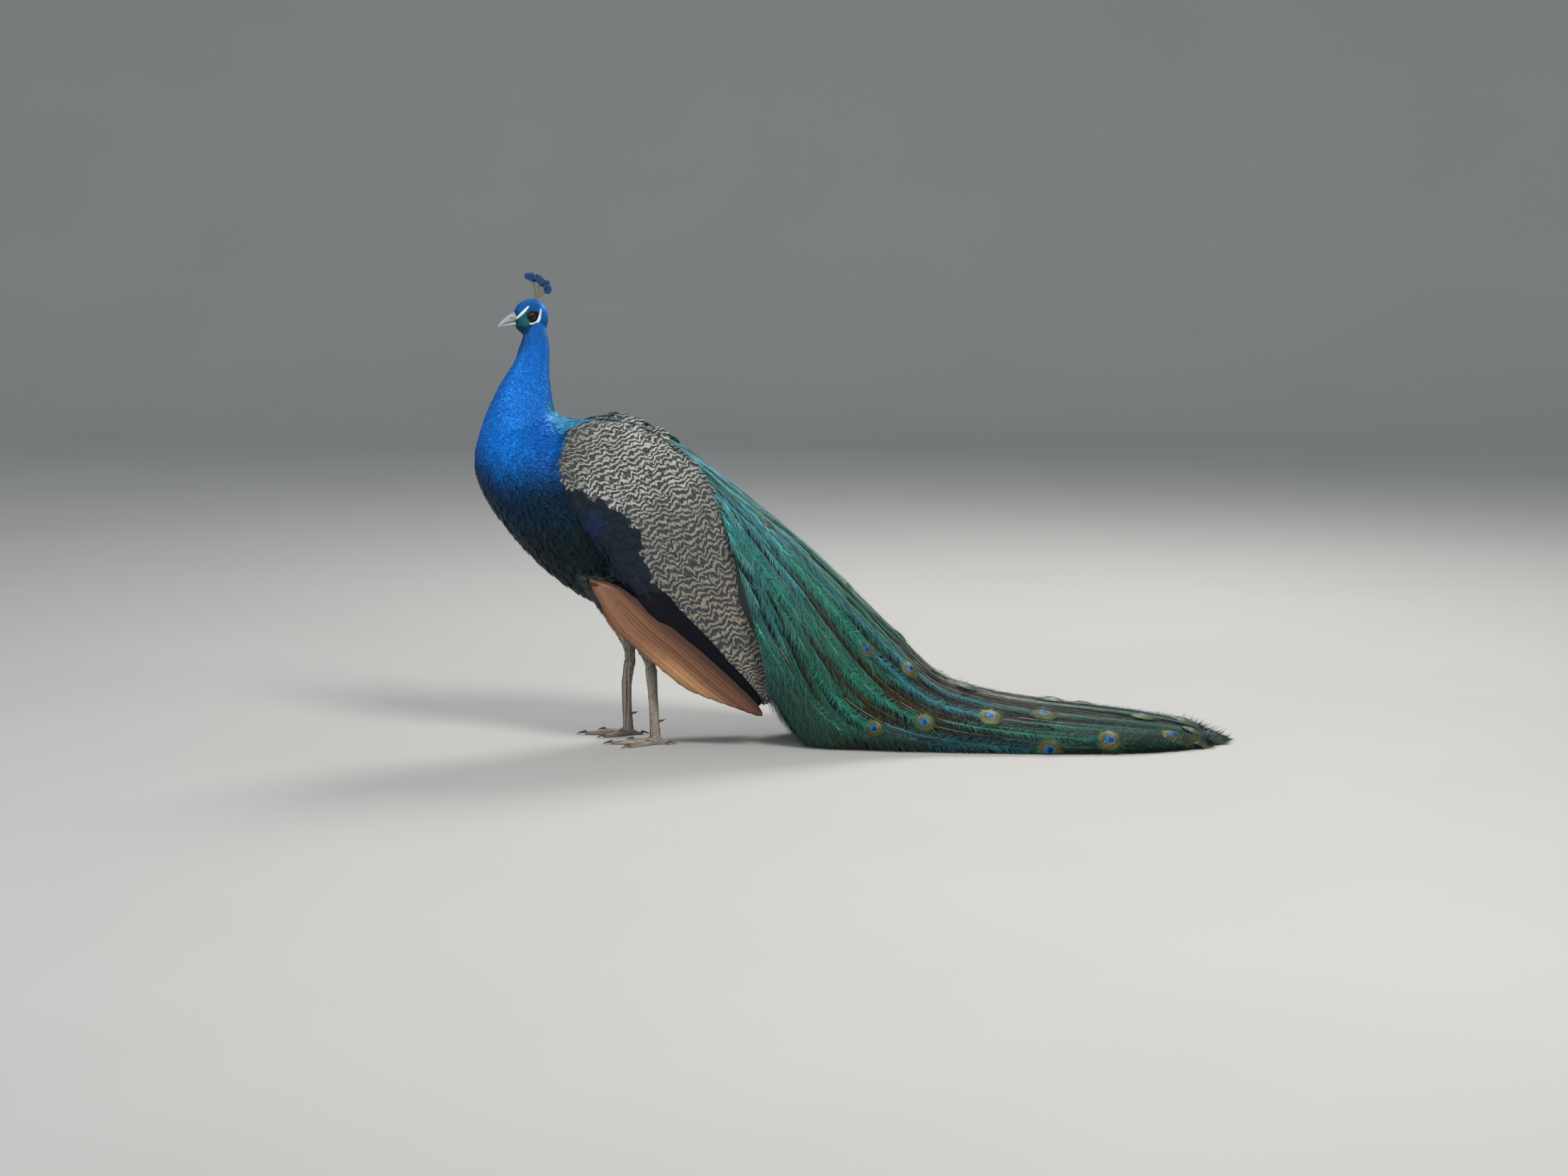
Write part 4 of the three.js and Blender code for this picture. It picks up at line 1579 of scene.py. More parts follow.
@dataclass
class BodyCoat:
    """Every small feather that grows from the skin."""

    bird: Anatomy
    skin: Skin
    planter: Planter
    tries: float = 3.2  # places tried for each square of the spacing
    closest: float = 0.8  # least distance between two feathers, as a share of the spacing

    def __post_init__(self) -> None:
        """Read the lie of the coat from the station tables."""
        t = np.linspace(0, 1, 60)
        low, high, rows = edges_at(BODY, t)
        middle, aside = (low + high) / 2, np.stack([t * 0, rows[:, 4], t * 0], 1)
        lines = [low, high, middle + aside, middle - aside]
        self.body_anchors = np.concatenate(lines)
        self.body_lies = np.concatenate([unit(np.gradient(line, axis=0)) for line in lines])
        wing = rows_at(WING, t)
        middles = (wing[:, 0:3] + wing[:, 3:6]) / 2
        lines = [wing[:, 0:3], middles, wing[:, 3:6]]
        points = np.concatenate(lines)
        ways = np.concatenate([unit(np.gradient(line, axis=0)) for line in lines])
        mirror = np.array([1, -1, 1])
        self.wing_anchors = np.concatenate([points, points * mirror])
        self.wing_lies = np.concatenate([ways, ways * mirror])

    @staticmethod
    def nearest(points: Array, anchors: Array, lies: Array) -> Array:
        """The direction at the anchors round each point, nearer ones counting more.

        Args:
            points: places in millimetres.
            anchors: places where the lie is known.
            lies: the directions there.

        Returns:
            One direction for each point.
        """
        result = np.empty_like(points)
        for start in range(0, len(points), 4000):
            part = points[start : start + 4000]
            distance = ((part[:, None] - anchors[None]) ** 2).sum(-1)
            weight = 1 / (distance + 60) ** 2
            result[start : start + 4000] = weight @ lies
        return unit(result)

    def lie(self, local: Array, labels: Array) -> Array:
        """Which way the coat lies at each point.

        Args:
            local: points in the bird's millimetres.
            labels: the region numbers.

        Returns:
            One direction for each point.
        """
        ways = self.nearest(local, self.body_anchors, self.body_lies)
        wing = Region.WING.at(labels)
        if wing.any():
            ways[wing] = self.nearest(local[wing], self.wing_anchors, self.wing_lies)
        head = self.bird.to_head(local)
        down = ease(head[:, 0], 26, -26)[:, None]
        head_way = unit(-self.bird.forward * (1 - 0.35 * down) - self.bird.up * (0.1 + 0.9 * down))
        share = ease(local[:, 2], 785, 812) * Region.HEAD.at(labels)
        ways = unit(mix(ways, head_way, share))
        leg = Region.THIGH.at(labels) | Region.LEG.at(labels)
        ways[leg] = unit(np.array([0.45, 0.0, -1.0]))
        return ways

    def scatter(self, tract: Tract) -> tuple[Array, Array, Array, Array]:
        """Choose well-spread places for a tract.

        Args:
            tract: the kind of feather.

        Returns:
            Places in millimetres, normals, region numbers and spacings.
        """
        skin, rng = self.skin, np.random.default_rng(tract.seed)
        corners = skin.triangles
        numbers = [r.number for r in tract.regions]
        labels = skin.labels[corners[:, 0]]
        chosen = np.isin(labels, numbers)
        centres = self.bird.local(skin.points[corners].mean(1))
        if tract.keep:
            chosen &= tract.keep(centres, labels) > 0.5
        corners, centres, labels = corners[chosen], centres[chosen], labels[chosen]
        a, b, c = (skin.points[corners[:, k]] / MM for k in range(3))
        area = np.linalg.norm(np.cross(b - a, c - a), axis=1) / 2
        want = area / tract.spacing(centres) ** 2 * self.tries
        picks = np.repeat(np.arange(len(corners)), rng.poisson(want))
        rng.shuffle(picks)
        u, v = rng.random((2, len(picks)))
        flip = u + v > 1
        u[flip], v[flip] = 1 - u[flip], 1 - v[flip]
        weights = np.stack([1 - u - v, u, v], 1)[:, :, None]
        points = self.bird.local((skin.points[corners[picks]] * weights).sum(1))
        normals = unit((skin.normals[corners[picks]] * weights).sum(1))
        spacing = tract.spacing(points)
        tree = KDTree(len(points))
        for i, p in enumerate(points):
            tree.insert(p, i)
        tree.balance()
        alive = np.ones(len(points), bool)
        for i, p in enumerate(points):
            if alive[i]:
                for _, j, _ in tree.find_range(p, spacing[i] * self.closest):
                    if j > i:
                        alive[j] = False
        return points[alive], normals[alive], labels[picks][alive], spacing[alive]

    def settle(self, points: Array, normals: Array, lie: Array, length: Array, rise: Array) -> Array:
        """Tilt feathers until each tip lies at its own height over the skin.

        Args:
            points: roots in millimetres.
            normals: outward directions.
            lie: the ways that the feathers point.
            length: their lengths.
            rise: the heights of their tips.

        Returns:
            The tilted ways.
        """
        for _ in range(2):
            tips = self.bird.place(points + lie * length[:, None])
            height = np.empty(len(tips))
            for i, tip in enumerate(tips):
                foot, out, _, _ = self.skin.tree.find_nearest(Vector(tip))
                # A tip past an edge of the skin keeps its way.
                over = out.dot(Vector(normals[i])) > 0.4
                height[i] = (Vector(tip) - foot).dot(out) / MM if over else rise[i]
            lie = unit(lie + normals * np.clip((rise - height) / length, -0.3, 0.5)[:, None])
        return lie

    def unwrap(self, local: Array, labels: Array) -> Array:
        """Each place on an unwrap of the body along and round its own axis.

        Args:
            local: points in millimetres.
            labels: the region numbers.

        Returns:
            Places on the bake map.
        """
        t = np.linspace(0, 1, 200)
        low, high = (edge[:, ::2] for edge in edges_at(BODY, t)[:2])
        middle = (low + high) / 2
        near = np.empty(len(local), int)
        for start in range(0, len(local), 5000):
            part = local[start : start + 5000, None, ::2]
            near[start : start + 5000] = ((part - middle[None]) ** 2).sum(-1).argmin(1)
        off = local[:, ::2] - middle[near]
        axis = unit(high[near] - middle[near])
        turn = np.arctan2(local[:, 1], (off * axis).sum(1))
        head = self.bird.to_head(local)
        head_turn = np.arctan2(head[:, 1], head[:, 2])
        is_head = Region.HEAD.at(labels)
        across = np.where(is_head, head_turn, turn) / (2 * math.pi) + 0.5
        head_along = 0.02 + 0.1 * np.clip((40 - head[:, 0]) / 80, 0, 1)
        along = np.where(is_head, head_along, 0.14 + 0.84 * t[near])
        wing = Region.WING.at(labels)
        wing_along = np.clip((local[:, 0] - local[:, 2] + 800) / 1000, 0, 1)
        wing_across = np.clip((local[:, 0] + local[:, 2] - 180) / 450, 0, 1)
        along = np.where(wing, 0.05 + 0.9 * wing_along, along)
        across = np.where(wing, 0.5 + np.sign(local[:, 1]) * (0.05 + 0.4 * wing_across), across)
        return np.clip(np.stack([along, across], 1), 0.002, 0.994)

    def grow(self, tract: Tract) -> Piece:
        """Plant one tract.

        Args:
            tract: the kind of feather.

        Returns:
            The finished piece.
        """
        points, normals, labels, spacing = self.scatter(tract)
        rng = np.random.default_rng(tract.seed + 50)
        lie = square_to(self.lie(points, labels), normals)
        side = np.cross(normals, lie)
        lie = unit(lie + side * rng.normal(0, 0.09, (len(lie), 1)))
        lift = np.radians(tract.lift * (0.6 + 0.8 * rng.random(len(lie))))
        length = spacing * tract.proportion[0] * rng.uniform(0.85, 1.15, len(lie))
        lie = self.settle(points, normals, lie, length, length * np.sin(lift) + 0.4)
        width = spacing * tract.proportion[1] * rng.uniform(0.9, 1.1, len(lie))
        size = np.stack([width, length, length], 1) * MM
        tint = Plumage(self.bird).colour(points, labels)
        tint = tint * rng.uniform(1 - tract.vary, 1 + tract.vary, (len(lie), 1))
        clear = Face.bare(self.bird.to_head(points + lie * length[:, None] * 0.7)) < 0.5
        seeds = Seeds(
            self.bird.place(points - normals * 0.12),
            lie,
            square_to(normals, lie),
            size,
            tint,
            self.unwrap(points, labels),
            rng.integers(0, 3, len(lie)),
        )
        seeds = seeds.some(clear | ~Region.HEAD.at(labels))
        made = self.planter.plant(tract.name, seeds, tract.shape, tract.finish.build())
        return finish(made, tract.slot)

    def build(self) -> None:
        """Grow every tract."""
        silk = VaneFinish(
            "blue_silk",
            roughness=0.36,
            metallic=0.5,
            barbs=5,
            contrast=0.35,
            shaft_share=0.12,
            sheen=0.1,
            sheen_tint=(0.1, 0.5, 0.9),
            shine=0.35,
        )
        dark = VaneFinish("dark_body", 0.45, 0.45, 9, 0.4, shaft_share=0.15, sheen=0.03, shine=0.2)
        scaly = VaneFinish(
            "mantle_scales", 0.55, 0.3, 8, 0.4, shaft_share=0.3, edge=0.25, sheen=0.03, shine=0.1
        )
        soft = VaneFinish("thigh_down", 0.8, 0.0, 8, 0.5, sheen_tint=(0.8, 0.7, 0.5))
        barred = BarredFinish("barred_coverts", float(self.bird.shift[0]))

        def off_face(local: Array, labels: Array) -> Array:
            """1 where the face is feathered."""
            head = self.bird.to_head(local)
            bill = (head[:, 0] > 31) & (head[:, 2] < 7) & (head[:, 2] > -18)
            eye = (np.hypot(head[:, 0], head[:, 2]) < 8.4) & (np.abs(head[:, 1]) > 8)
            return (Face.bare(head) < 0.35) & ~bill & ~eye

        def on_back(local: Array, labels: Array) -> Array:
            """1 on the back between and behind the wings."""
            return (Plumage.above_mantle(local) > 0) & (local[:, 0] > -205)

        def off_back(local: Array, labels: Array) -> Array:
            """1 on the breast, belly and flanks."""
            return ~on_back(local, labels)

        def coverts(local: Array, labels: Array) -> Array:
            """1 where the wing carries coverts."""
            return Wings.open_to_coverts(local)

        def head_gap(local: Array) -> Array:
            """The head's spacing, smallest at the bill and round the eyes."""
            place = self.bird.to_head(local)
            coarse = ease(np.hypot(place[:, 0], place[:, 2]), 20, 32)
            return 1.05 + 0.7 * coarse * ease(place[:, 0], 34, -8)

        def wing_gap(local: Array) -> Array:
            """The wing's spacing, smallest at the shoulder."""
            return 5.0 + 4.5 * ease(local[:, 0] - 0.5 * (local[:, 2] - 600), -210, -60)

        def by_height(least: float, more: float, start: float, stop: float) -> Callable[[Array], Array]:
            """A spacing that grows from one height to another."""
            return lambda local: least + more * ease(local[:, 2], start, stop)

        blue, body, thigh, fine = "blue_feathers", "body_feathers", "thigh_feathers", Shape.FINE
        head, neck, trunk, legs, wings = (
            (region,) for region in (Region.HEAD, Region.NECK, Region.TRUNK, Region.THIGH, Region.WING)
        )
        neck_gap, breast_gap = by_height(1.6, 1.7, 812, 650), by_height(3.4, 4.2, 640, 440)
        mantle_gap, thigh_gap = by_height(7.0, 0.0, 0, 1), by_height(4.0, 2.5, 160, 260)
        tracts = [
            Tract("head_feathers", blue, head, head_gap, (3.1, 1.9), 11, silk, off_face, fine, seed=3),
            Tract("neck_feathers", blue, neck, neck_gap, (4.0, 1.9), 9, silk, None, fine, seed=4),
            Tract("breast_feathers", body, trunk, breast_gap, (3.7, 2.0), 8, dark, off_back, fine, seed=5),
            Tract("mantle_feathers", body, trunk, mantle_gap, (2.9, 2.0), 8, scaly, on_back, seed=6),
            Tract(thigh, thigh, legs, thigh_gap, (3.6, 1.6), 9, soft, vary=0.25, seed=7),
            Tract(
                "wing_coverts",
                "barred_feathers",
                wings,
                wing_gap,
                (3.1, 2.1),
                4.5,
                barred,
                coverts,
                vary=0.15,
                seed=8,
            ),
        ]
        for tract in tracts:
            self.grow(tract)


# ---- Wings, tail and train -------------------------------------------------------------------


def blade_surface(rows: Rows, t: Array, v: Array, side: int, out: float | Array = 0.0) -> Array:
    """Places on the outer face of a wing table.

    Args:
        rows: lower edge, upper edge and half thickness.
        t: shares along the wing.
        v: shares from the lower edge to the upper one.
        side: 1 for the left wing, -1 for the right.
        out: millimetres off the surface.

    Returns:
        Points in the bird's millimetres.
    """
    row = rows_at(rows, t)
    low, high = row[..., 0:3], row[..., 3:6]
    centre = (low + high) / 2
    rise = np.clip(2 * v - 1, -1, 1)[..., None]
    along = np.array(rows[-1][0:3]) - np.array(rows[0][0:3])
    across = unit(np.cross(high - low, along))
    across = across * np.sign(across[..., 1:2])
    thick = row[..., 6:7] * np.sqrt(np.maximum(1 - rise**2, 0.0)) + np.asarray(out)[..., None]
    points = centre + (high - centre) * rise + across * thick
    return points * np.array([1, -side, 1])


def ribbon(line: Array, across: Array, facing: Array, side: Array, rise: Array) -> Array:
    """A grid of points along a line, each so far to its side and over it."""
    return line[:, None] + across[:, None] * side[..., None] + facing[:, None] * rise[..., None]


@dataclass
class LongFeather:
    """A flight feather that follows a path over a surface."""

    path: Array  # n by 3, in millimetres, root to tip
    facing: Array  # n by 3, outward
    width: float
    tint: Colour
    shaft: Colour
    tip_tint: Colour | None = None
    rows: int = 26
    columns: int = 7
    cup: float = 0.1

    def add_to(self, sheets: Sheets, bird: Anatomy, cell: int, rng: np.random.Generator) -> None:
        """Add the feather's web and its raised shaft to a set of sheets.

        Args:
            sheets: gathers the feathers.
            bird: where the bird stands.
            cell: which column of the bake map is its own.
            rng: random numbers.
        """
        share = np.linspace(0, 1, self.rows)
        way = unit(np.gradient(self.path, axis=0))
        across = unit(np.cross(way, self.facing))
        facing = np.cross(across, way)
        round_tip = np.sqrt(np.clip(1 - ((share - 0.75) / 0.25).clip(0) ** 2, 0, 1))
        half = np.maximum(self.width / 2 * np.minimum(1, 0.35 + share * 5) * round_tip, 0.3)
        columns = np.linspace(-1, 1, self.columns)
        lean = np.where(columns < 0, 0.8, 1.2)
        ragged = 1 + 0.05 * rng.normal(size=(self.rows, self.columns)) * np.abs(columns)
        offset = columns * lean * half[:, None] * ragged
        drop = -self.cup * offset**2 / max(self.width / 2, 1)
        grid = ribbon(self.path, across, facing, offset, drop)
        # Random tone from feather to feather, darker towards the tip, and painted shade along both edges so
        # overlapping feathers stand apart.
        shade = rng.uniform(0.8, 1.2) * (1 - 0.35 * share**3)[:, None] * (1.2 - 0.85 * np.abs(columns) ** 3)
        tint = mix(self.tint, self.tip_tint or self.tint, ease(share, 0.35, 0.7))
        tint, left = tint[:, None] * shade[..., None], 0.062 * cell
        sheets.grid(bird.place(grid), tint, (0.01 + left, 0.02), (0.05, 0.96))
        thick = (1.3 * (1 - share) + 0.3)[:, None]
        raised = 0.15 + (1 - np.abs(RIDGE)) * thick * 0.5
        shaft = ribbon(self.path, across, facing, RIDGE * thick * 0.5, raised)
        sheets.grid(bird.place(shaft), np.array(self.shaft), (0.062 + left, 0.02), (0.005, 0.96))


@dataclass
class Wings:
    """The long feathers of both wings."""

    bird: Anatomy
    secondaries: int = 10
    primaries: int = 9
    secondary_width: float = 26.0
    primary_width: float = 21.0
    dark: Colour = (0.0045, 0.0065, 0.012)
    rufous: Colour = (0.20, 0.074, 0.033)
    rufous_pale: Colour = (0.55, 0.28, 0.12)

    @staticmethod
    def barred_share(local: Array) -> Array:
        """1 on the barred part of the wing and 0 on the dark band along its lower edge."""
        edge_x = [-230, -186, -154, -64, -33, -16, 0, 44, 90, 160, 219]
        edge = np.interp(local[:, 0], edge_x, [532, 532, 516, 478, 432, 374, 333, 268, 226, 150, 96])
        return ease(local[:, 2] - edge, -2, 1)

    @staticmethod
    def open_to_coverts(local: Array) -> Array:
        """Whether coverts grow at a place: all over but the far end of the dark band."""
        along = 0.68 * (local[:, 0] + 92) - 0.73 * (local[:, 2] - 372)
        return (Wings.barred_share(local) > 0.3) | (along < 160)

    @staticmethod
    def ground(local: Array) -> Array:
        """The colour between the bars: olive grey at the shoulder, white above, buff below, and blue-black in
        the dark band with painted blue glints.

        Args:
            local: points in the bird's millimetres.

        Returns:
            One colour for each point.
        """
        x, z = local[:, 0], local[:, 2]
        colour = mix((0.375, 0.375, 0.335), (0.19, 0.19, 0.145), ease(x + 0.4 * (560 - z), -100, -190))
        colour = mix(colour, (0.225, 0.217, 0.188), ease(z - 0.4 * x, 540, 430))
        colour = mix(colour, (0.235, 0.215, 0.165), ease(z - 0.4 * x, 400, 270))
        # Painted glints: a few dark-band feathers turn bright blue, partly their own blue sheen and partly
        # painted flecks of sunlight.
        glint = np.exp(-(((x + 120) / 20) ** 2 + ((z - 450) / 24) ** 2))
        glint = glint * (0.5 + 0.5 * np.sin(x * 0.7) * np.sin(z * 0.6))
        dark = mix((0.004, 0.010, 0.018), (0.004, 0.035, 0.20), 0.5 * glint)
        return mix(dark, colour, Wings.barred_share(local))

    def build(self) -> None:
        """Make the secondaries and primaries of each wing."""
        dark = VaneFinish("dark_quills", 0.5, 0.2, 60, sheen=0.0, shine=0.15)
        rufous = VaneFinish("rufous_quills", 0.62, 0.0, 70, 0.35, sheen=0.05)
        # How high the secondaries' upper edge runs on the wing, station by station.
        edge_at = [1.5, 2, 2.6, 3, 3.5, 4.5, 5.3, 6, 9]
        edge = [0.0, 0.1, 0.26, 0.31, 0.27, 0.2, 0.16, 0.17, 0.12]
        s = np.linspace(0, 1, 26)
        for label, side in (("left", 1), ("right", -1)):
            rng = np.random.default_rng(20 + side)
            sheets = Sheets()
            for k in range(self.secondaries):
                share = k / (self.secondaries - 1)
                t = 0.48 - 0.06 * share + (0.47 + 0.09 * share) * s
                v = np.interp(t * 9, edge_at, edge) * (1 - share) - 0.02 * share
                path = blade_surface(WING, t, v, side, (0.4 - 2.6 * share) - 7.0 * ease(s, 0.25, 0.0))
                facing = blade_surface(WING, t, v, side, 10.0) - blade_surface(WING, t, v, side, 0.0)
                width, shaft = self.secondary_width, (0.01, 0.01, 0.012)
                feather = LongFeather(path, unit(facing), width, self.dark, shaft)
                feather.add_to(sheets, self.bird, k, rng)
            finish(sheets.build(f"secondaries_{label}"), "barred_feathers", dark.build())
            sheets = Sheets()
            for k in range(self.primaries):
                share = k / (self.primaries - 1)
                t = s * (0.99 - 0.36 * share**1.6)
                v = 0.97 - 0.9 * share * ease(s, 0.0, 0.35)
                path = blade_surface(PRIMARIES, t, v, side, 1.5 - 3.5 * share)
                facing = np.array([0.05, -side, -0.1]) * np.ones((26, 1))
                # Painted sunlight: the lowest feathers pale towards their tips, a lit strip along the wing's
                # lower edge.
                pale = float(ease(share, 0.5, 0.85))
                deep = 0.5 + 0.5 * ease(share, 0.05, 0.5)
                near, far = (
                    tuple(deep * mix(self.rufous, self.rufous_pale, pale * part)) for part in (0.15, 1.0)
                )
                feather = LongFeather(path, unit(facing), self.primary_width, near, (0.40, 0.22, 0.13), far)
                feather.add_to(sheets, self.bird, k, rng)
            piece = finish(sheets.build(f"flight_feathers_{label}"), "rufous_feathers", rufous.build())
            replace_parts(piece, f"primaries_{label}")


@dataclass
class TailFan:
    """The plain brown tail feathers under the train."""

    bird: Anatomy
    feathers: int = 14
    width: float = 34.0
    brown: Colour = (0.10, 0.068, 0.042)

    def build(self) -> None:
        """Make the tail."""
        rng = np.random.default_rng(31)
        sheets = Sheets()
        for k in range(self.feathers):
            share = 2 * k / (self.feathers - 1) - 1
            s = np.linspace(0, 1, 26)
            low, high, row = edges_at(TAIL, s * (1 - 0.08 * abs(share)))
            level = 0.5 + 0.35 * (k % 2 - 0.5)
            path = low + (high - low) * level
            path[:, 1] = row[:, 4] * share * 0.82
            facing = unit(np.array([-0.8, 0.0, -0.6]))
            feather = LongFeather(path, np.tile(facing, (26, 1)), self.width, self.brown, (0.2, 0.15, 0.1))
            feather.add_to(sheets, self.bird, k, rng)
        quill = VaneFinish("brown_quills", 0.7, 0.0, 60, 0.4, sheen=0.1)
        piece = sheets.build("tail_feathers")
        points = points_of(piece.data)
        points[:, 2] = np.maximum(points[:, 2], 0.002)
        move(piece.data, points)
        finish(piece, "tail_feathers", quill.build())
        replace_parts(piece, "tail")


@dataclass(frozen=True)
class BarbSet:
    """One set of barbs along a train feather, in millimetres and degrees."""

    shape: Shape
    step: float
    length: float
    visible: float
    angles: tuple[float, float]
    width: float
    spread: float
    sag: float


class Cover(Enum):
    """The kinds of train feather, with their sets of barbs."""

    EYED = (
        BarbSet(Shape.BARB, 1.9, 16.0, 340.0, (20.0, 34.0), 1.5, 0.04, 0.0),
        BarbSet(Shape.HAIR, 5.0, 36.0, 300.0, (26.0, 46.0), 0.9, 0.07, 1.0),
    )
    LOOSE = (BarbSet(Shape.HAIR, 3.2, 44.0, 300.0, (16.0, 40.0), 0.85, 0.07, 1.6),)
    RUMP = (BarbSet(Shape.BARB, 2.4, 38.0, 160.0, (6.0, 24.0), 0.85, 0.06, 2.0),)


@dataclass
class TrainFeather:
    """One long covert: where it runs, how far, and its colours."""

    cover: Cover
    turn: float  # degrees round the train, 0 on top and negative on the left
    end: float  # share of the train's length where it ends
    depth: float  # millimetres under the train's surface
    inner: Colour
    outer: Colour
    eye: float = 0.0  # length of its eye spot


@dataclass
class Train:
    """The folded train: a dark core, bare shafts, loose barbs and ringed eyes."""

    bird: Anatomy
    planter: Planter
    loose: int = 300
    rump: int = 340
    bands: int = 14  # lines of eyed feathers side by side
    band_turn: float = 20.0
    core_depth: float = 24.0
    shaft_length: float = 430.0  # how much of each shaft is made, from the tip
    squareness: float = 0.91  # exponent of the cross-section; 1 is an ellipse
    fringe: int = 36  # loose barbs round each eye spot
    turquoise: Colour = (0.03, 0.22, 0.22)
    root_light: Colour = (2.6, 1.85, 1.62)
    end_light: Colour = (1.7, 0.96, 0.82)

    @staticmethod
    def clear_of_wings(points: Array, behind: float = -8.0) -> Array:
        """Whether each point lies so far behind the folded wings' rear edge, or between the wings."""
        edge = np.array([row[3:6:2] for row in WING[:2:-1]])
        past = points[:, 0] > np.interp(points[:, 2], edge[:, 1], edge[:, 0]) + behind
        return past | (np.abs(points[:, 1]) < BETWEEN_WINGS)

    def surface(self, t: Array, turn: Array, depth: Array | float = 0.0) -> Array:
        """Places on the train, in the bird's millimetres.

        Args:
            t: shares along it.
            turn: degrees round it.
            depth: millimetres under its surface.

        Returns:
            The points, none below the floor.
        """
        low, high, row = edges_at(TRAIN, t)
        centre = low + (high - low) * row[..., 5:6]
        cosine, sine = np.cos(np.radians(turn)), np.sin(np.radians(turn))
        rise = np.sign(cosine) * np.abs(cosine) ** self.squareness
        sway = np.sign(sine) * np.abs(sine) ** self.squareness
        depth = np.broadcast_to(np.asarray(depth, float), rise.shape)[..., None]

        def shorten(arm: Array) -> Array:
            """Take the depth off an arm's length, but never more than 0.6 of it."""
            length = np.linalg.norm(arm, axis=-1, keepdims=True)
            return arm * (1 - np.minimum(depth, 0.6 * length) / np.maximum(length, 1e-6))

        arm = np.where(rise[..., None] > 0, shorten(high - centre), shorten(low - centre))
        width = shorten(np.stack([row[..., 0] * 0, row[..., 4], row[..., 0] * 0], -1))
        points = centre + arm * np.abs(rise)[..., None] + width * sway[..., None]
        points[..., 2] = np.maximum(points[..., 2], 0.8)
        return points

    def normal(self, t: Array, turn: Array) -> Array:
        """Outward directions on the train.

        Args:
            t: shares along it.
            turn: degrees round it.

        Returns:
            One direction for each place.
        """
        along = self.surface(np.minimum(t + 0.004, 1), turn) - self.surface(np.maximum(t - 0.004, 0), turn)
        around = self.surface(t, turn + 1.5) - self.surface(t, turn - 1.5)
        out = unit(np.cross(along, around))
        middle = self.surface(t, turn, 14.0)
        return out * np.sign(((self.surface(t, turn) - middle) * out).sum(-1, keepdims=True) + 1e-9)

    def plan(self) -> list[TrainFeather]:
        """Lay out every feather of the train."""
        rng = np.random.default_rng(41)
        streaks = [
            ((0.010, 0.240, 0.200), (0.012, 0.130, 0.085)),
            ((0.006, 0.190, 0.280), (0.008, 0.130, 0.140)),
            ((0.030, 0.200, 0.095), (0.050, 0.105, 0.025)),
        ]
        hairs = [
            ((0.006, 0.009, 0.008), (0.010, 0.016, 0.012)),
            ((0.008, 0.045, 0.045), (0.007, 0.018, 0.017)),
            ((0.028, 0.034, 0.012), (0.012, 0.012, 0.007)),
            ((0.020, 0.013, 0.008), (0.007, 0.006, 0.005)),
        ]
        golden, made = 0.6180340, []
        for band in range(self.bands):
            line = (band - (self.bands - 1) / 2) * self.band_turn
            ends = 0.17 + 0.105 * ((band * 2) % 5) / 2 + 0.215 * np.arange(6)
            for number, end in enumerate(ends[ends < 1.04]):
                colours = streaks[rng.choice(3, p=[0.45, 0.3, 0.25])]
                turn = line + rng.uniform(-3.5, 3.5)
                end = min(0.95, end + rng.uniform(-0.02, 0.02))
                eyed = abs(line) < 105
                size = rng.uniform(0.92, 1.05) * (30 + 22 * ease(end, 0.15, 0.6)) if eyed else 0.0
                made.append(TrainFeather(Cover.EYED, turn, end, 1.5, *colours, float(size)))
                if number % 2:
                    turn += rng.uniform(-5, 5)
                    made.append(TrainFeather(Cover.EYED, turn, max(0.1, end - 0.09), 4.0, *colours))
        for k in range(self.loose):
            share = (k + 0.5) / self.loose
            turn = 330 * ((k * golden) % 1) - 165
            colours = hairs[rng.choice(4, p=[0.3, 0.3, 0.2, 0.2])]
            made.append(TrainFeather(Cover.LOOSE, turn, 0.3 + 0.7 * share**0.85, rng.uniform(3, 9), *colours))
        for k in range(self.rump):
            share = (k + 0.5) / self.rump
            turn = 320 * ((k * golden) % 1) - 160
            fresh = np.array(((0.055, 0.36, 0.52), (0.075, 0.34, 0.36), (0.030, 0.20, 0.30))[rng.integers(3)])
            dull = np.array((0.012, 0.085, 0.062))
            inner = mix(fresh, dull * 1.4, ease(share, 0.3, 0.85))
            # Painted shade: the rump's barbs darken down its sides, away from the top.
            shade = 1 - 0.5 * ease(abs(turn), 60, 120)
            colours = (tuple(inner * shade), tuple(dull * shade))
            made.append(TrainFeather(Cover.RUMP, turn, 0.05 + 0.34 * share, rng.uniform(0.5, 6), *colours))
        return made

    def path(self, feather: TrainFeather, rng: np.random.Generator) -> tuple[Array, Array, Array, Array]:
        """A feather's run at even steps of one millimetre.

        Args:
            feather: the feather.
            rng: random numbers for its sway.

        Returns:
            Points, outward directions, shares along the train and distances to the tip.
        """
        s = np.linspace(0, 1, 160)
        t = feather.end * s
        sway = rng.uniform(1, 2) if feather.cover is Cover.EYED else rng.uniform(2, 5)
        turn = feather.turn * (0.74 + 0.26 * s) + sway * np.sin(rng.uniform(0, 6.28) + 5 * s) * s
        # Feathers between the bands lie deeper, and all keep inside the train's sides.
        between = turn / self.band_turn + 0.5 * (self.bands % 2 - 1)
        gap = 2.2 * (1 - np.cos(2 * math.pi * between)) * (feather.cover is Cover.LOOSE)
        depth = feather.depth + 9 * (1 - s) + gap + 9 * np.abs(np.sin(np.radians(turn))) * ease(t, 0.2, 0.5)
        line = self.surface(t, turn, depth)
        length = np.concatenate([[0], np.cumsum(np.linalg.norm(np.diff(line, axis=0), axis=1))])
        steps = np.arange(0, length[-1], 1.0)
        t, turn, depth = (np.interp(steps, length, values) for values in (t, turn, depth))
        return self.surface(t, turn, depth), self.normal(t, turn), t, length[-1] - steps

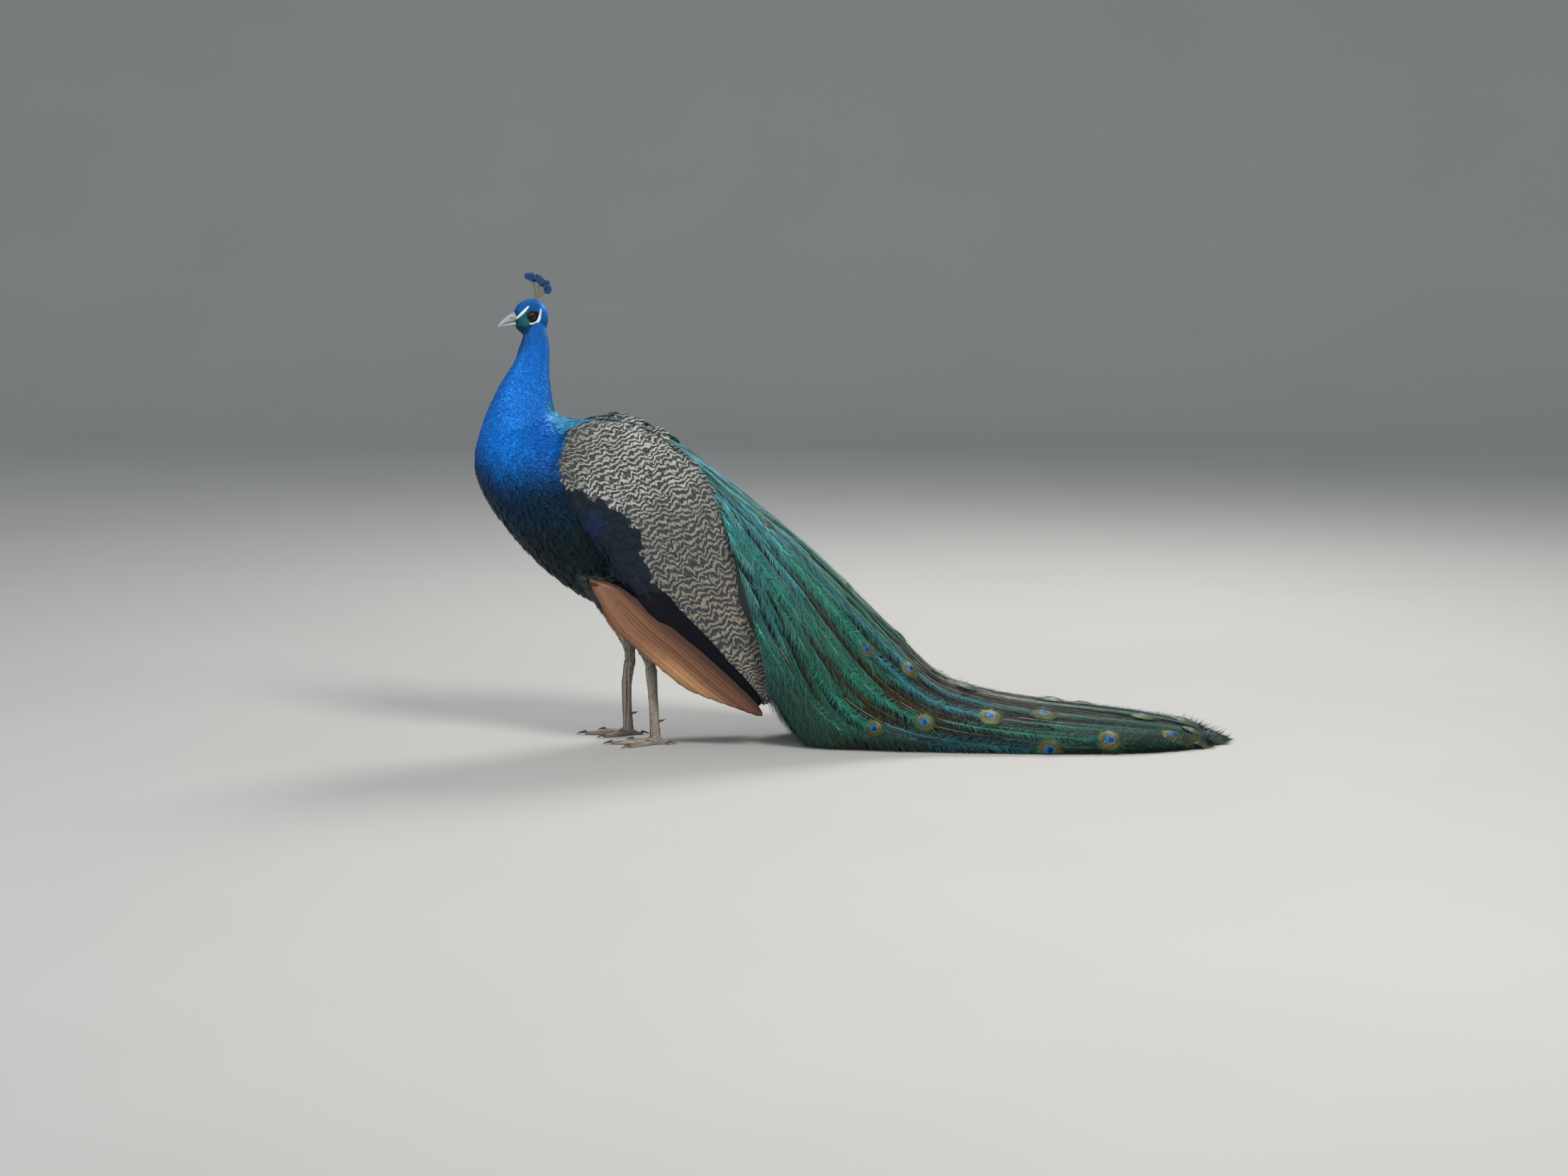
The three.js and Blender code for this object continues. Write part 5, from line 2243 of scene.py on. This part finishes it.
    def barbs(self, feather: TrainFeather, rng: np.random.Generator, sheets: Sheets) -> dict[Shape, Seeds]:
        """One feather's barbs, and its shaft as a ridge.

        Args:
            feather: the feather.
            rng: random numbers.
            sheets: gathers the shafts.

        Returns:
            The barbs as seeds, by shape.
        """
        line, facing, along, left_over = self.path(feather, rng)
        way = unit(np.gradient(line, axis=0))
        across = unit(np.cross(way, facing))
        bake = np.array([0.03 + 0.9 * feather.end, 0.5 + feather.turn / 380])
        if feather.cover is not Cover.RUMP:
            pick = np.flatnonzero(left_over < self.shaft_length)[::12]
            # A shaft comes into sight where it leaves the wing's rear edge.
            hidden = np.flatnonzero(~self.clear_of_wings(line[pick], 12.0))
            pick = pick[hidden[-1] + 1 :] if len(hidden) else pick
            thick = (0.3 + 0.9 * np.clip(left_over[pick] / self.shaft_length, 0, 1))[:, None]
            raised = 0.4 + (1 - np.abs(RIDGE)) * thick * 0.7
            shaft = ribbon(line[pick], across[pick], facing[pick], RIDGE * thick * 0.55, raised)
            pale = mix((0.23, 0.20, 0.15), (0.07, 0.05, 0.03), np.clip(1 - left_over[pick] / 300, 0, 1))
            if len(pick) > 1:
                tint = np.repeat(pale[:, None], 3, axis=1)
                sheets.grid(self.bird.place(shaft), tint, tuple(bake), (0.001, BAKE_PATCH))
        made = {}
        for barbs in feather.cover.value:
            pick = np.flatnonzero((left_over < barbs.visible) & (left_over > feather.eye * 0.72))
            parts = []
            for side in (1, -1):
                steps = np.arange(rng.uniform(0, barbs.step), len(pick), barbs.step).astype(int)
                at = pick[np.minimum(steps, len(pick) - 1)]
                count = len(at)
                # Without an eye spot, the last barbs close to a point.
                close = 1 - 0.4 * ease(left_over[at], 60, 0) * (feather.eye == 0)
                angle = np.radians(rng.uniform(*barbs.angles, count) * close)
                rise = rng.normal(0.02, barbs.spread, count) + 0.14 * (rng.random(count) < 0.03)
                lie = way[at] * np.cos(angle)[:, None] + across[at] * (side * np.sin(angle))[:, None]
                down = np.array([0, 0, -1.0]) + facing[at] * np.maximum(facing[at][:, 2:3], 0)
                sag = barbs.sag * ease(along[at], 0.5, 0.3) * rng.uniform(0.5, 1.2, count)
                lie = unit(lie + down * sag[:, None])
                lie = unit(lie + facing[at] * rise[:, None])
                fade = 0.35 + 0.65 * ease(left_over[at], barbs.visible, barbs.visible - 80)
                length = barbs.length * (0.5 + 0.5 * ease(left_over[at], 0, 60))
                length = length * rng.uniform(0.8, 1.15, count) * fade
                tint = mix(np.array(feather.inner), np.array(feather.outer), rng.random(count) ** 1.5)
                if barbs.shape is Shape.HAIR and feather.cover is Cover.EYED:
                    tint = tint * 0.35
                if feather.cover is not Cover.RUMP:
                    tint = mix(tint, self.turquoise, 0.5 * ease(along[at], 0.30, 0.14))
                # The train is brightest at its root and darkens over its first half.
                tint = tint * mix(self.root_light, self.end_light, ease(along[at], 0.32, 0.6))
                tint = tint * rng.uniform(0.5, 1.45, (count, 1))
                width = np.full(count, barbs.width / BARB_UNIT) * rng.uniform(0.8, 1.2, count)
                size = np.stack([width, length, length], 1) * MM
                kind = rng.integers(0, 3, count)
                # A barb that would lie over a wing hangs down along the wing's rear edge instead.
                over = ~self.clear_of_wings(line[at] + lie * length[:, None])
                hanging = unit(np.array([0.5, 0, -0.86]) + rng.normal(0, 0.08, (count, 3)))
                lie = np.where(over[:, None], square_to(hanging, facing[at]), lie)
                bakes = np.tile(bake, (count, 1))
                seeds = Seeds(self.bird.place(line[at]), lie, facing[at], size, tint, bakes, kind)
                tips = line[at] + lie * length[:, None]
                parts.append(seeds.some(self.clear_of_wings(line[at]) & self.clear_of_wings(tips)))
            made[barbs.shape] = Seeds.joined(parts)
        return made

    def eye_seed(self, feather: TrainFeather, index: int) -> tuple[Seeds, Seeds]:
        """The ringed end of one feather, and the loose barbs round it.

        Args:
            feather: the feather.
            index: its number, for a patch of its own on the bake map.

        Returns:
            The disc and the barbs as seeds.
        """
        t, turn = np.array([feather.end]), np.array([feather.turn])
        side = 9 * abs(math.sin(math.radians(feather.turn)))
        tip = self.surface(t, turn, feather.depth + side)
        before = self.surface(t - 0.03, turn, feather.depth + side)
        # Near the train's end the discs lie flat, so none stands up off its sides.
        facing = self.normal(t - 0.05, turn) + np.array([0, 0, 1.6]) * ease(feather.end, 0.78, 0.92)
        way = unit(tip - before)
        facing = square_to(facing, way)
        root = tip - way * feather.eye * 0.85 + facing * 2.4
        cell = np.array([[0.005 + 0.098 * (index % 10), 0.005 + 0.098 * (index // 10)]])
        size = np.array([[0.9, 1.0, 1.0]]) * feather.eye * MM
        disc = Seeds(self.bird.place(root), way, facing, size, np.ones((1, 3)), cell, np.zeros(1, int))
        rng = np.random.default_rng(900 + index)
        count = self.fringe
        angle = np.radians(np.linspace(-150, 150, count) + rng.uniform(-3, 3, count))[:, None]
        across = np.cross(way, facing)
        spoke = way * np.cos(angle) + across * np.sin(angle)
        start = root + way * feather.eye * 0.5 + spoke * feather.eye * 0.38 - facing * 0.8
        lie = unit(spoke + way * 0.5 + facing * rng.uniform(-0.12, 0.1, (count, 1)))
        reach = feather.eye * rng.uniform(0.24, 0.42, count)
        size = np.stack([np.full(count, 45.0), reach, reach], 1) * MM
        tint = mix((0.03, 0.10, 0.045), (0.09, 0.10, 0.03), rng.random(count))
        kind, cells = rng.integers(0, 3, count), np.repeat(cell + 0.097, count, 0)
        facings = np.repeat(facing, count, 0)
        fringe = Seeds(self.bird.place(start), lie, facings, size, tint, cells, kind)
        return disc, fringe

    def core(self) -> None:
        """The under-layer of webs that the loose feathers lie on, dark as painted shade."""
        t, turn = np.meshgrid(np.linspace(0.0, 0.985, 90), np.linspace(0, 360, 49)[:-1], indexing="ij")
        depth = self.core_depth + 3 * np.sin(np.radians(turn * 11)) * np.sin(t * 40)
        core = outward(new_object("train_core", *loft(self.bird.place(self.surface(t, turn, depth)))))
        place = self.bird.local(points_of(core.data))
        # Painted shadow: the under-layer is near black so that where it shows, between the barbs and in the
        # strip behind the wing's rear edge, it reads as shade.
        tint = mix((0.006, 0.028, 0.026), (0.005, 0.011, 0.009), ease(place[:, 0], 60, 240))
        set_tint(core.data, tint)
        finish(core, "train_feathers", SkinFinish("train_underlayer").build())
        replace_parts(core, "train_root", "train_middle", "train_end")

    def build(self) -> None:
        """Make the whole train."""
        self.core()
        rng = np.random.default_rng(47)
        shafts, eyes, groups = Sheets(), [], {}
        for feather in self.plan():
            zone = "upper" if feather.end < 0.52 else "middle" if feather.end < 0.78 else "end"
            for shape, seeds in self.barbs(feather, rng, shafts).items():
                groups.setdefault((feather.cover.name.lower(), zone, shape), []).append(seeds)
            if feather.eye:
                disc, fringe = self.eye_seed(feather, len(eyes))
                eyes.append(disc)
                groups.setdefault(("eyed", zone, Shape.BARB), []).append(fringe)
        gloss = VaneFinish("train_streaks", 0.36, 0.5, sheen_tint=(0.3, 0.8, 0.6))
        matt = VaneFinish("train_hair", 0.5, 0.25, sheen=0.1)
        root = VaneFinish("rump_hair", 0.45, 0.2, sheen_tint=(0.3, 0.8, 0.8))
        finishes = {"eyed_barb": gloss.build(), "rump_barb": root.build(), "hair": matt.build()}
        for (cover, zone, shape), parts in groups.items():
            kind = finishes["hair" if shape is Shape.HAIR else f"{cover}_barb"]
            piece = self.planter.plant(f"{cover}_{shape.value}s_{zone}", Seeds.joined(parts), shape, kind)
            finish(off_floor(piece), "train_feathers")
        quill = VaneFinish("train_shafts", 0.45, 0.0, 1, 0.1)
        finish(off_floor(shafts.build("train_shafts")), "train_feathers", quill.build())
        piece = self.planter.plant("train_eyes", Seeds.joined(eyes), Shape.EYE, EyeSpotFinish().build(), 0.09)
        finish(off_floor(piece), "train_feathers")


# ---- Head pieces and legs --------------------------------------------------------------------


@dataclass
class Bill:
    """The upper and lower bill, with nostrils."""

    bird: Anatomy
    sides: int = 48
    rings: int = 84

    def shell(self, name: str, rows: Rows, upper: bool) -> Piece:
        """One half of the bill.

        Args:
            name: the piece's name.
            rows: forward, low, high and half width.
            upper: whether it has the ridge and the nostrils.

        Returns:
            The closed mesh, with its tints.
        """
        row = rows_at(rows, np.linspace(0, 1, self.rings))
        turn = np.linspace(0, 2 * math.pi, self.sides + 1)[:-1]
        forward, low, high, half = (row[:, i : i + 1] for i in range(4))
        up = (low + high) / 2 + (high - low) / 2 * np.cos(turn)
        pinch = np.maximum(np.cos(turn), 0) ** 2 * (0.42 if upper else 0.0)
        side = half * np.sin(turn) * (1 - pinch)
        points = np.stack([np.broadcast_to(forward, up.shape), side, up], -1)
        dark = np.zeros(up.shape)
        if upper:
            # The nostril is a slanting hole under a raised flap.
            slope = up + 3.0 + 0.25 * (forward - 38)
            hole = np.hypot((forward - 38) / 4.2, slope / 1.25)
            flap = np.hypot((forward - 37) / 6.5, (slope - 2.6) / 2.2)
            sides = np.sign(side) * (np.abs(side) > 1.2)
            points[..., 1] += sides * (0.55 * ease(flap, 1.3, 0.4) - 1.9 * ease(hole, 1.2, 0.5))
            # Painted shade darkens the nostril hole; the bill is also darker towards its base.
            dark = np.maximum(ease(hole, 1.4, 0.6), 0.45 * ease(forward, 42, 28))
        rings = self.bird.place_in_head(points)
        shell, faces = loft(rings)
        made = new_object(name, shell, faces)
        dark = np.concatenate([dark.ravel(), dark[:1].mean(1), dark[-1:].mean(1)])
        tip = ease(self.bird.to_head(self.bird.local(shell))[:, 0], 48, 62)
        horn = mix((0.23, 0.25, 0.27), (0.36, 0.36, 0.35), tip)
        set_tint(made.data, mix(horn, (0.05, 0.06, 0.075), dark * 0.85))
        return outward(made)

    def build(self) -> None:
        """Make both halves."""
        horn = HornFinish("bill_horn", (0.36, 0.37, 0.37)).build()
        halves = (("upper_bill", UPPER_BILL, "bill_upper"), ("lower_bill", LOWER_BILL, "bill_lower"))
        for name, rows, node in halves:
            shell = self.shell(name, rows, rows is UPPER_BILL)
            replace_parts(finish(shell, "bill", horn), node)


@dataclass
class Eyes:
    """Both eyes, with a raised cornea."""

    bird: Anatomy

    def build(self) -> None:
        """Make the eyes."""
        for label, side in (("left", 1), ("right", -1)):
            axis = unit(np.array([0.12, side, 0.02]))
            turns, rises = np.linspace(0, 2 * math.pi, 41)[:-1], np.linspace(0.06, math.pi - 0.06, 30)
            turns, rises = np.meshgrid(turns, rises, indexing="ij")
            first = unit(np.cross(axis, [0, 0, 1.0]))
            second = np.cross(axis, first)
            bulge = 1 + 0.05 * np.exp(-((rises / 0.7) ** 2))
            way = (
                np.cos(rises)[..., None] * axis
                + (np.sin(rises) * np.cos(turns))[..., None] * first
                + (np.sin(rises) * np.sin(turns))[..., None] * second
            )
            points = np.array([0, EYE_OUT * side, 0]) + way * (bulge * (EYE_RADIUS - 0.15))[..., None]
            rings = self.bird.place_in_head(points.transpose(1, 0, 2))
            piece = outward(new_object(f"eyeball_{label}", *loft(rings)))
            centre = self.bird.place_in_head(np.array([0, EYE_OUT * side, 0]))
            way = axis @ np.stack([self.bird.forward, self.bird.left, self.bird.up])
            finish(piece, "eye", EyeFinish(f"eye_{label}", tuple(way), tuple(centre)).build())
            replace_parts(piece, f"eye_{label}")


@dataclass
class Crest:
    """A fan of bare shafts with webbed tips."""

    bird: Anatomy
    planter: Planter
    feathers: int = 24
    length: float = 54.0
    root: tuple[float, float] = (-14.0, 29.0)
    fan: tuple[float, float] = (79.0, 153.0)
    bone: Colour = (0.20, 0.19, 0.15)

    def build(self) -> None:
        """Make the shafts and their tips."""
        rng = np.random.default_rng(53)
        shafts, tips = Sheets(), []
        for k in range(self.feathers):
            share = k / (self.feathers - 1)
            lean = math.radians(self.fan[0] + (self.fan[1] - self.fan[0]) * share + rng.uniform(-2, 2))
            length = self.length * (1 - 0.28 * share) * rng.uniform(0.9, 1.0)
            spread = rng.uniform(-6.5, 6.5)
            s = np.linspace(0, 1, 12)
            far = -4 + (length - 5) * s
            aside = spread * s**1.2 + rng.uniform(-2.5, 2.5) * (1 - s)
            path = [self.root[0] + far * math.cos(lean), aside, self.root[1] + far * math.sin(lean)]
            path = np.stack(path, 1)
            path[:, 0] -= 2.0 * np.sin(math.pi * s)
            across = np.array([-math.sin(lean), 0, math.cos(lean)])
            thick = (0.5 - 0.2 * s)[:, None]
            for plane in (across, np.array([0, 1.0, 0])):
                grid = np.stack([path - plane * thick, path + plane * thick], 1)
                grid = self.bird.place_in_head(grid)
                shafts.grid(grid, np.array(self.bone), (0.02 + 0.04 * k, 0.1), (0.01, 0.3))
            way = unit(path[-1] - path[-2])
            matrix = np.stack([self.bird.forward, self.bird.left, self.bird.up])
            for angle, reach in ((-34, 0.72), (-17, 0.92), (0, 1.0), (17, 0.92), (34, 0.72)):
                turn = math.radians(angle)
                lie = way * math.cos(turn) + across * math.sin(turn)
                lie = lie + np.array([0, rng.uniform(-0.12, 0.12), 0])
                tint = mix((0.006, 0.075, 0.17), (0.010, 0.045, 0.26), np.array(rng.random()))
                size = np.array([[0.36, 1.0, 1.0]]) * 15.5 * reach * MM
                root = path[-1] - way * 4
                tips.append(
                    Seeds(
                        self.bird.place_in_head(root[None]),
                        unit(lie @ matrix)[None],
                        (np.array([0, 1.0, 0.05]) @ matrix)[None],
                        size,
                        tint[None],
                        np.array([[0.02 + 0.04 * k, 0.6 + angle / 300]]),
                        rng.integers(0, 3, 1),
                    )
                )
        quill = VaneFinish("crest_shafts", 0.5, 0.0, 1, 0.1).build()
        shaft = finish(shafts.build("crest_shafts"), "crest_feathers", quill)
        fan = VaneFinish("crest_fans", 0.42, 0.4, contrast=0.45, shaft_share=0.3, sheen=0.3).build()
        tip = self.planter.plant("crest_tips", Seeds.joined(tips), Shape.CONTOUR, fan)
        tip = finish(tip, "crest_feathers")
        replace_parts(shaft, "crest")
        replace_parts(tip, "crest")


@dataclass
class LegPlates:
    """Scutes on the shanks and toes."""

    bird: Anatomy
    skin: Skin
    planter: Planter
    tone: Colour = (0.27, 0.23, 0.18)

    def row(
        self, start: Array, stop: Array, out: Array, count: int, width: float, rng: np.random.Generator
    ) -> list[Seeds]:
        """A row of overlapping plates.

        Args:
            start: where the limb's axis begins, in millimetres.
            stop: where it ends.
            out: the direction that the plates face.
            count: how many plates.
            width: their width in millimetres.
            rng: random numbers.

        Returns:
            The plates as seeds.
        """
        seeds = []
        step = np.linalg.norm(stop - start) / count
        way = unit(stop - start)
        for k in range(count):
            at = start + (stop - start) * (k + 0.5) / count
            origin = self.bird.place(at + out * 30)
            hit = self.skin.tree.ray_cast(Vector(origin), Vector(-out), 0.05)
            if hit[0] is None:
                continue
            point = np.array(hit[0]) - way * step * 0.5 * MM
            lie = unit(way + out * 0.10)
            size = np.array([[width * rng.uniform(0.95, 1.05), step * 1.45, width * 0.5]]) * MM
            tint = np.array(self.tone) * rng.uniform(0.8, 1.2)
            bake = np.array([[0.1 + 0.8 * rng.random(), 0.1 + 0.8 * rng.random()]])
            seeds.append(Seeds(point[None], lie[None], out[None], size, tint[None], bake, np.zeros(1, int)))
        return seeds

    def build(self) -> None:
        """Cover the shanks and toes."""
        rng = np.random.default_rng(61)
        seeds, rows = [], [(0, 22, 9.0)]
        for angle, count, width in ((38, 24, 7.5), (80, 26, 6.0), (125, 26, 6.0)):
            rows += [(angle, count, width), (-angle, count, width)]
        rows.append((180, 26, 6.5))
        for side, ahead in ((1, 0.0), (-1, 58.0)):
            y = -52.0 * side
            hock = np.array([-4 - ahead * 0.775, y, 150.0])
            ankle = np.array([6 - ahead, y, 16.0])
            for angle, count, width in rows:
                turn = math.radians(angle)
                out = np.array([-math.cos(turn), math.sin(turn), 0.0])
                seeds += self.row(hock, ankle, out, count, width, rng)
            for heading, length in ((2, 88), (-36, 60), (38, 66), (172, 29)):
                turn = math.radians(heading)
                way = np.array([-math.cos(turn), -side * math.sin(turn), 0.0])
                foot = np.array([6 - ahead, y, 4.0])
                knuckle, tip = foot + way * 6, foot + way * (length - 2)
                sideways, count = np.array([way[1], -way[0], 0.0]), max(6, int(length / 4.6))
                for lean, width in ((0, 7.5), (42, 5.0), (-42, 5.0)):
                    turn = math.radians(lean)
                    out = unit(np.array([0, 0, 1.0]) * math.cos(turn) + sideways * math.sin(turn))
                    seeds += self.row(knuckle, tip, out, count, width, rng)
        piece = self.planter.plant("leg_plates", Seeds.joined(seeds), Shape.PLATE, ScuteFinish().build())
        finish(off_floor(piece), "leg_skin")


@dataclass
class Claws:
    """Smooth claws and spurs in place of the faceted ones."""

    toes: tuple[str, ...] = ("middle", "inner", "outer", "hind")

    def build(self) -> None:
        """Refine copies of the claws and spurs."""
        sides = ("left", "right")
        names = [f"claw_{toe}_{side}" for toe in self.toes for side in sides]
        names += [f"spur_{side}" for side in sides]
        rough = joined_nodes("claws", names)
        remesh = rough.modifiers.new("round", "REMESH")
        remesh.mode = "VOXEL"
        remesh.voxel_size = 0.0005
        soften = rough.modifiers.new("soften", "SMOOTH")
        soften.iterations = 6
        piece = evaluated_copy(rough, "claws")
        set_tint(piece.data, np.tile((0.045, 0.036, 0.028), (len(piece.data.vertices), 1)))
        finish(piece, "claw", HornFinish("claw_horn", (0.12, 0.10, 0.08), 0.35).build())
        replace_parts(piece, *names)


# ---- Studio ----------------------------------------------------------------------------------


@dataclass
class Studio:
    """Floor, light and the camera."""

    bird: Anatomy
    focal_px: float = 4300.0
    frame_px: tuple[float, float] = (2212.0, 1659.0)
    distance: float = 5950.0
    pitch: float = 7.5
    foot: tuple[float, float, float] = (6.0, -52.0, 0.0)
    foot_px: tuple[float, float] = (925.0, 1050.0)

    def camera(self) -> None:
        """Place the camera so that the near foot stands where it should in the frame."""
        pitch = math.radians(self.pitch)
        look = np.array([0.0, math.cos(pitch), -math.sin(pitch)])
        right = np.array([1.0, 0.0, 0.0])
        up = np.cross(right, look)
        dx = (self.foot_px[0] - self.frame_px[0] / 2) / self.focal_px * self.distance
        dy = (self.frame_px[1] / 2 - self.foot_px[1]) / self.focal_px * self.distance
        at = np.array(self.foot) - look * self.distance - right * dx - up * dy
        data = bpy.data.cameras.new("camera")
        data.sensor_width = SENSOR
        data.lens = self.focal_px / self.frame_px[0] * SENSOR
        data.clip_end = 100.0
        camera = bpy.data.objects.new("camera", data)
        camera.location = self.bird.place(at)
        camera.rotation_euler = (math.pi / 2 - pitch, 0.0, 0.0)
        bpy.context.scene.collection.objects.link(camera)
        bpy.context.scene.camera = camera

    def floor(self) -> None:
        """A pale floor that curves up far behind."""
        x = np.array([-14.0, 14.0])
        profile = [(-14.0, 0.0), (7.0, 0.0)]
        profile += [(7.0 + 3 * math.sin(a), 3 - 3 * math.cos(a)) for a in np.linspace(0.1, math.pi / 2, 14)]
        profile.append((10.0, 9.0))
        points = [(px, y, z) for y, z in profile for px in x]
        faces = [(2 * i, 2 * i + 1, 2 * i + 3, 2 * i + 2) for i in range(len(profile) - 1)]
        floor = new_object("floor", np.array(points), faces)
        floor.data.shade_smooth()
        n = Nodes("pale_floor")
        n.surface(Base_Color=n.blend(n.noise(1.5), (0.36, 0.355, 0.34), (0.39, 0.385, 0.37)), Roughness=0.85)
        floor.data.materials.append(n.material)
        floor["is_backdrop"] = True

    def lights(self) -> None:
        """A soft key from the upper right, a fill from the left and a low world light."""
        target = Vector(self.bird.place(np.array([150, 0, 350])))
        for name, place, size, power, colour in (
            ("key", (1.6, -2.6, 3.4), 1.5, 180.0, (1.0, 0.96, 0.9)),
            ("fill", (-3.4, -2.6, 1.8), 2.6, 60.0, (0.86, 0.93, 1.0)),
            ("back", (1.2, 2.6, 3.0), 1.6, 130.0, (1.0, 0.98, 0.95)),
        ):
            data = bpy.data.lights.new(name, "AREA")
            data.shape = "DISK"
            data.size = size
            data.energy = power
            data.color = colour
            light = bpy.data.objects.new(name, data)
            light.location = target + Vector(place)
            light.rotation_euler = (target - light.location).to_track_quat("-Z", "Y").to_euler()
            bpy.context.scene.collection.objects.link(light)
        world = bpy.data.worlds.new("studio")
        bpy.context.scene.world = world
        world.use_nodes = True
        background = world.node_tree.nodes["Background"]
        background.inputs[0].default_value = (0.85, 0.92, 1.0, 1.0)
        background.inputs[1].default_value = 0.55

    def build(self) -> None:
        """Set the studio."""
        self.floor()
        self.lights()
        self.camera()
        bpy.context.scene.view_settings.view_transform = "Standard"


def write_sizes() -> None:
    """Work out the CAD box and the dressed model's box; they are not kept."""
    boxes = {"cad": CAD_BOX, "visual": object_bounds()}
    boxes = {name: [[float(v) for v in corner] for corner in box] for name, box in boxes.items()}


def main() -> None:
    """Dress the bird and set the studio."""
    logging.basicConfig(level=logging.INFO, format="%(name)s %(relativeCreated)d ms: %(message)s")
    bird = Anatomy()
    planter = Planter()
    Studio(bird).build()
    skin = Skin(bird)
    skin.build()
    Bill(bird).build()
    Eyes(bird).build()
    Crest(bird, planter).build()
    LegPlates(bird, skin, planter).build()
    Claws().build()
    BodyCoat(bird, skin, planter).build()
    Wings(bird).build()
    TailFan(bird).build()
    Train(bird, planter).build()
    planter.clear()


if __name__ == "__main__":
    main()
    write_sizes()
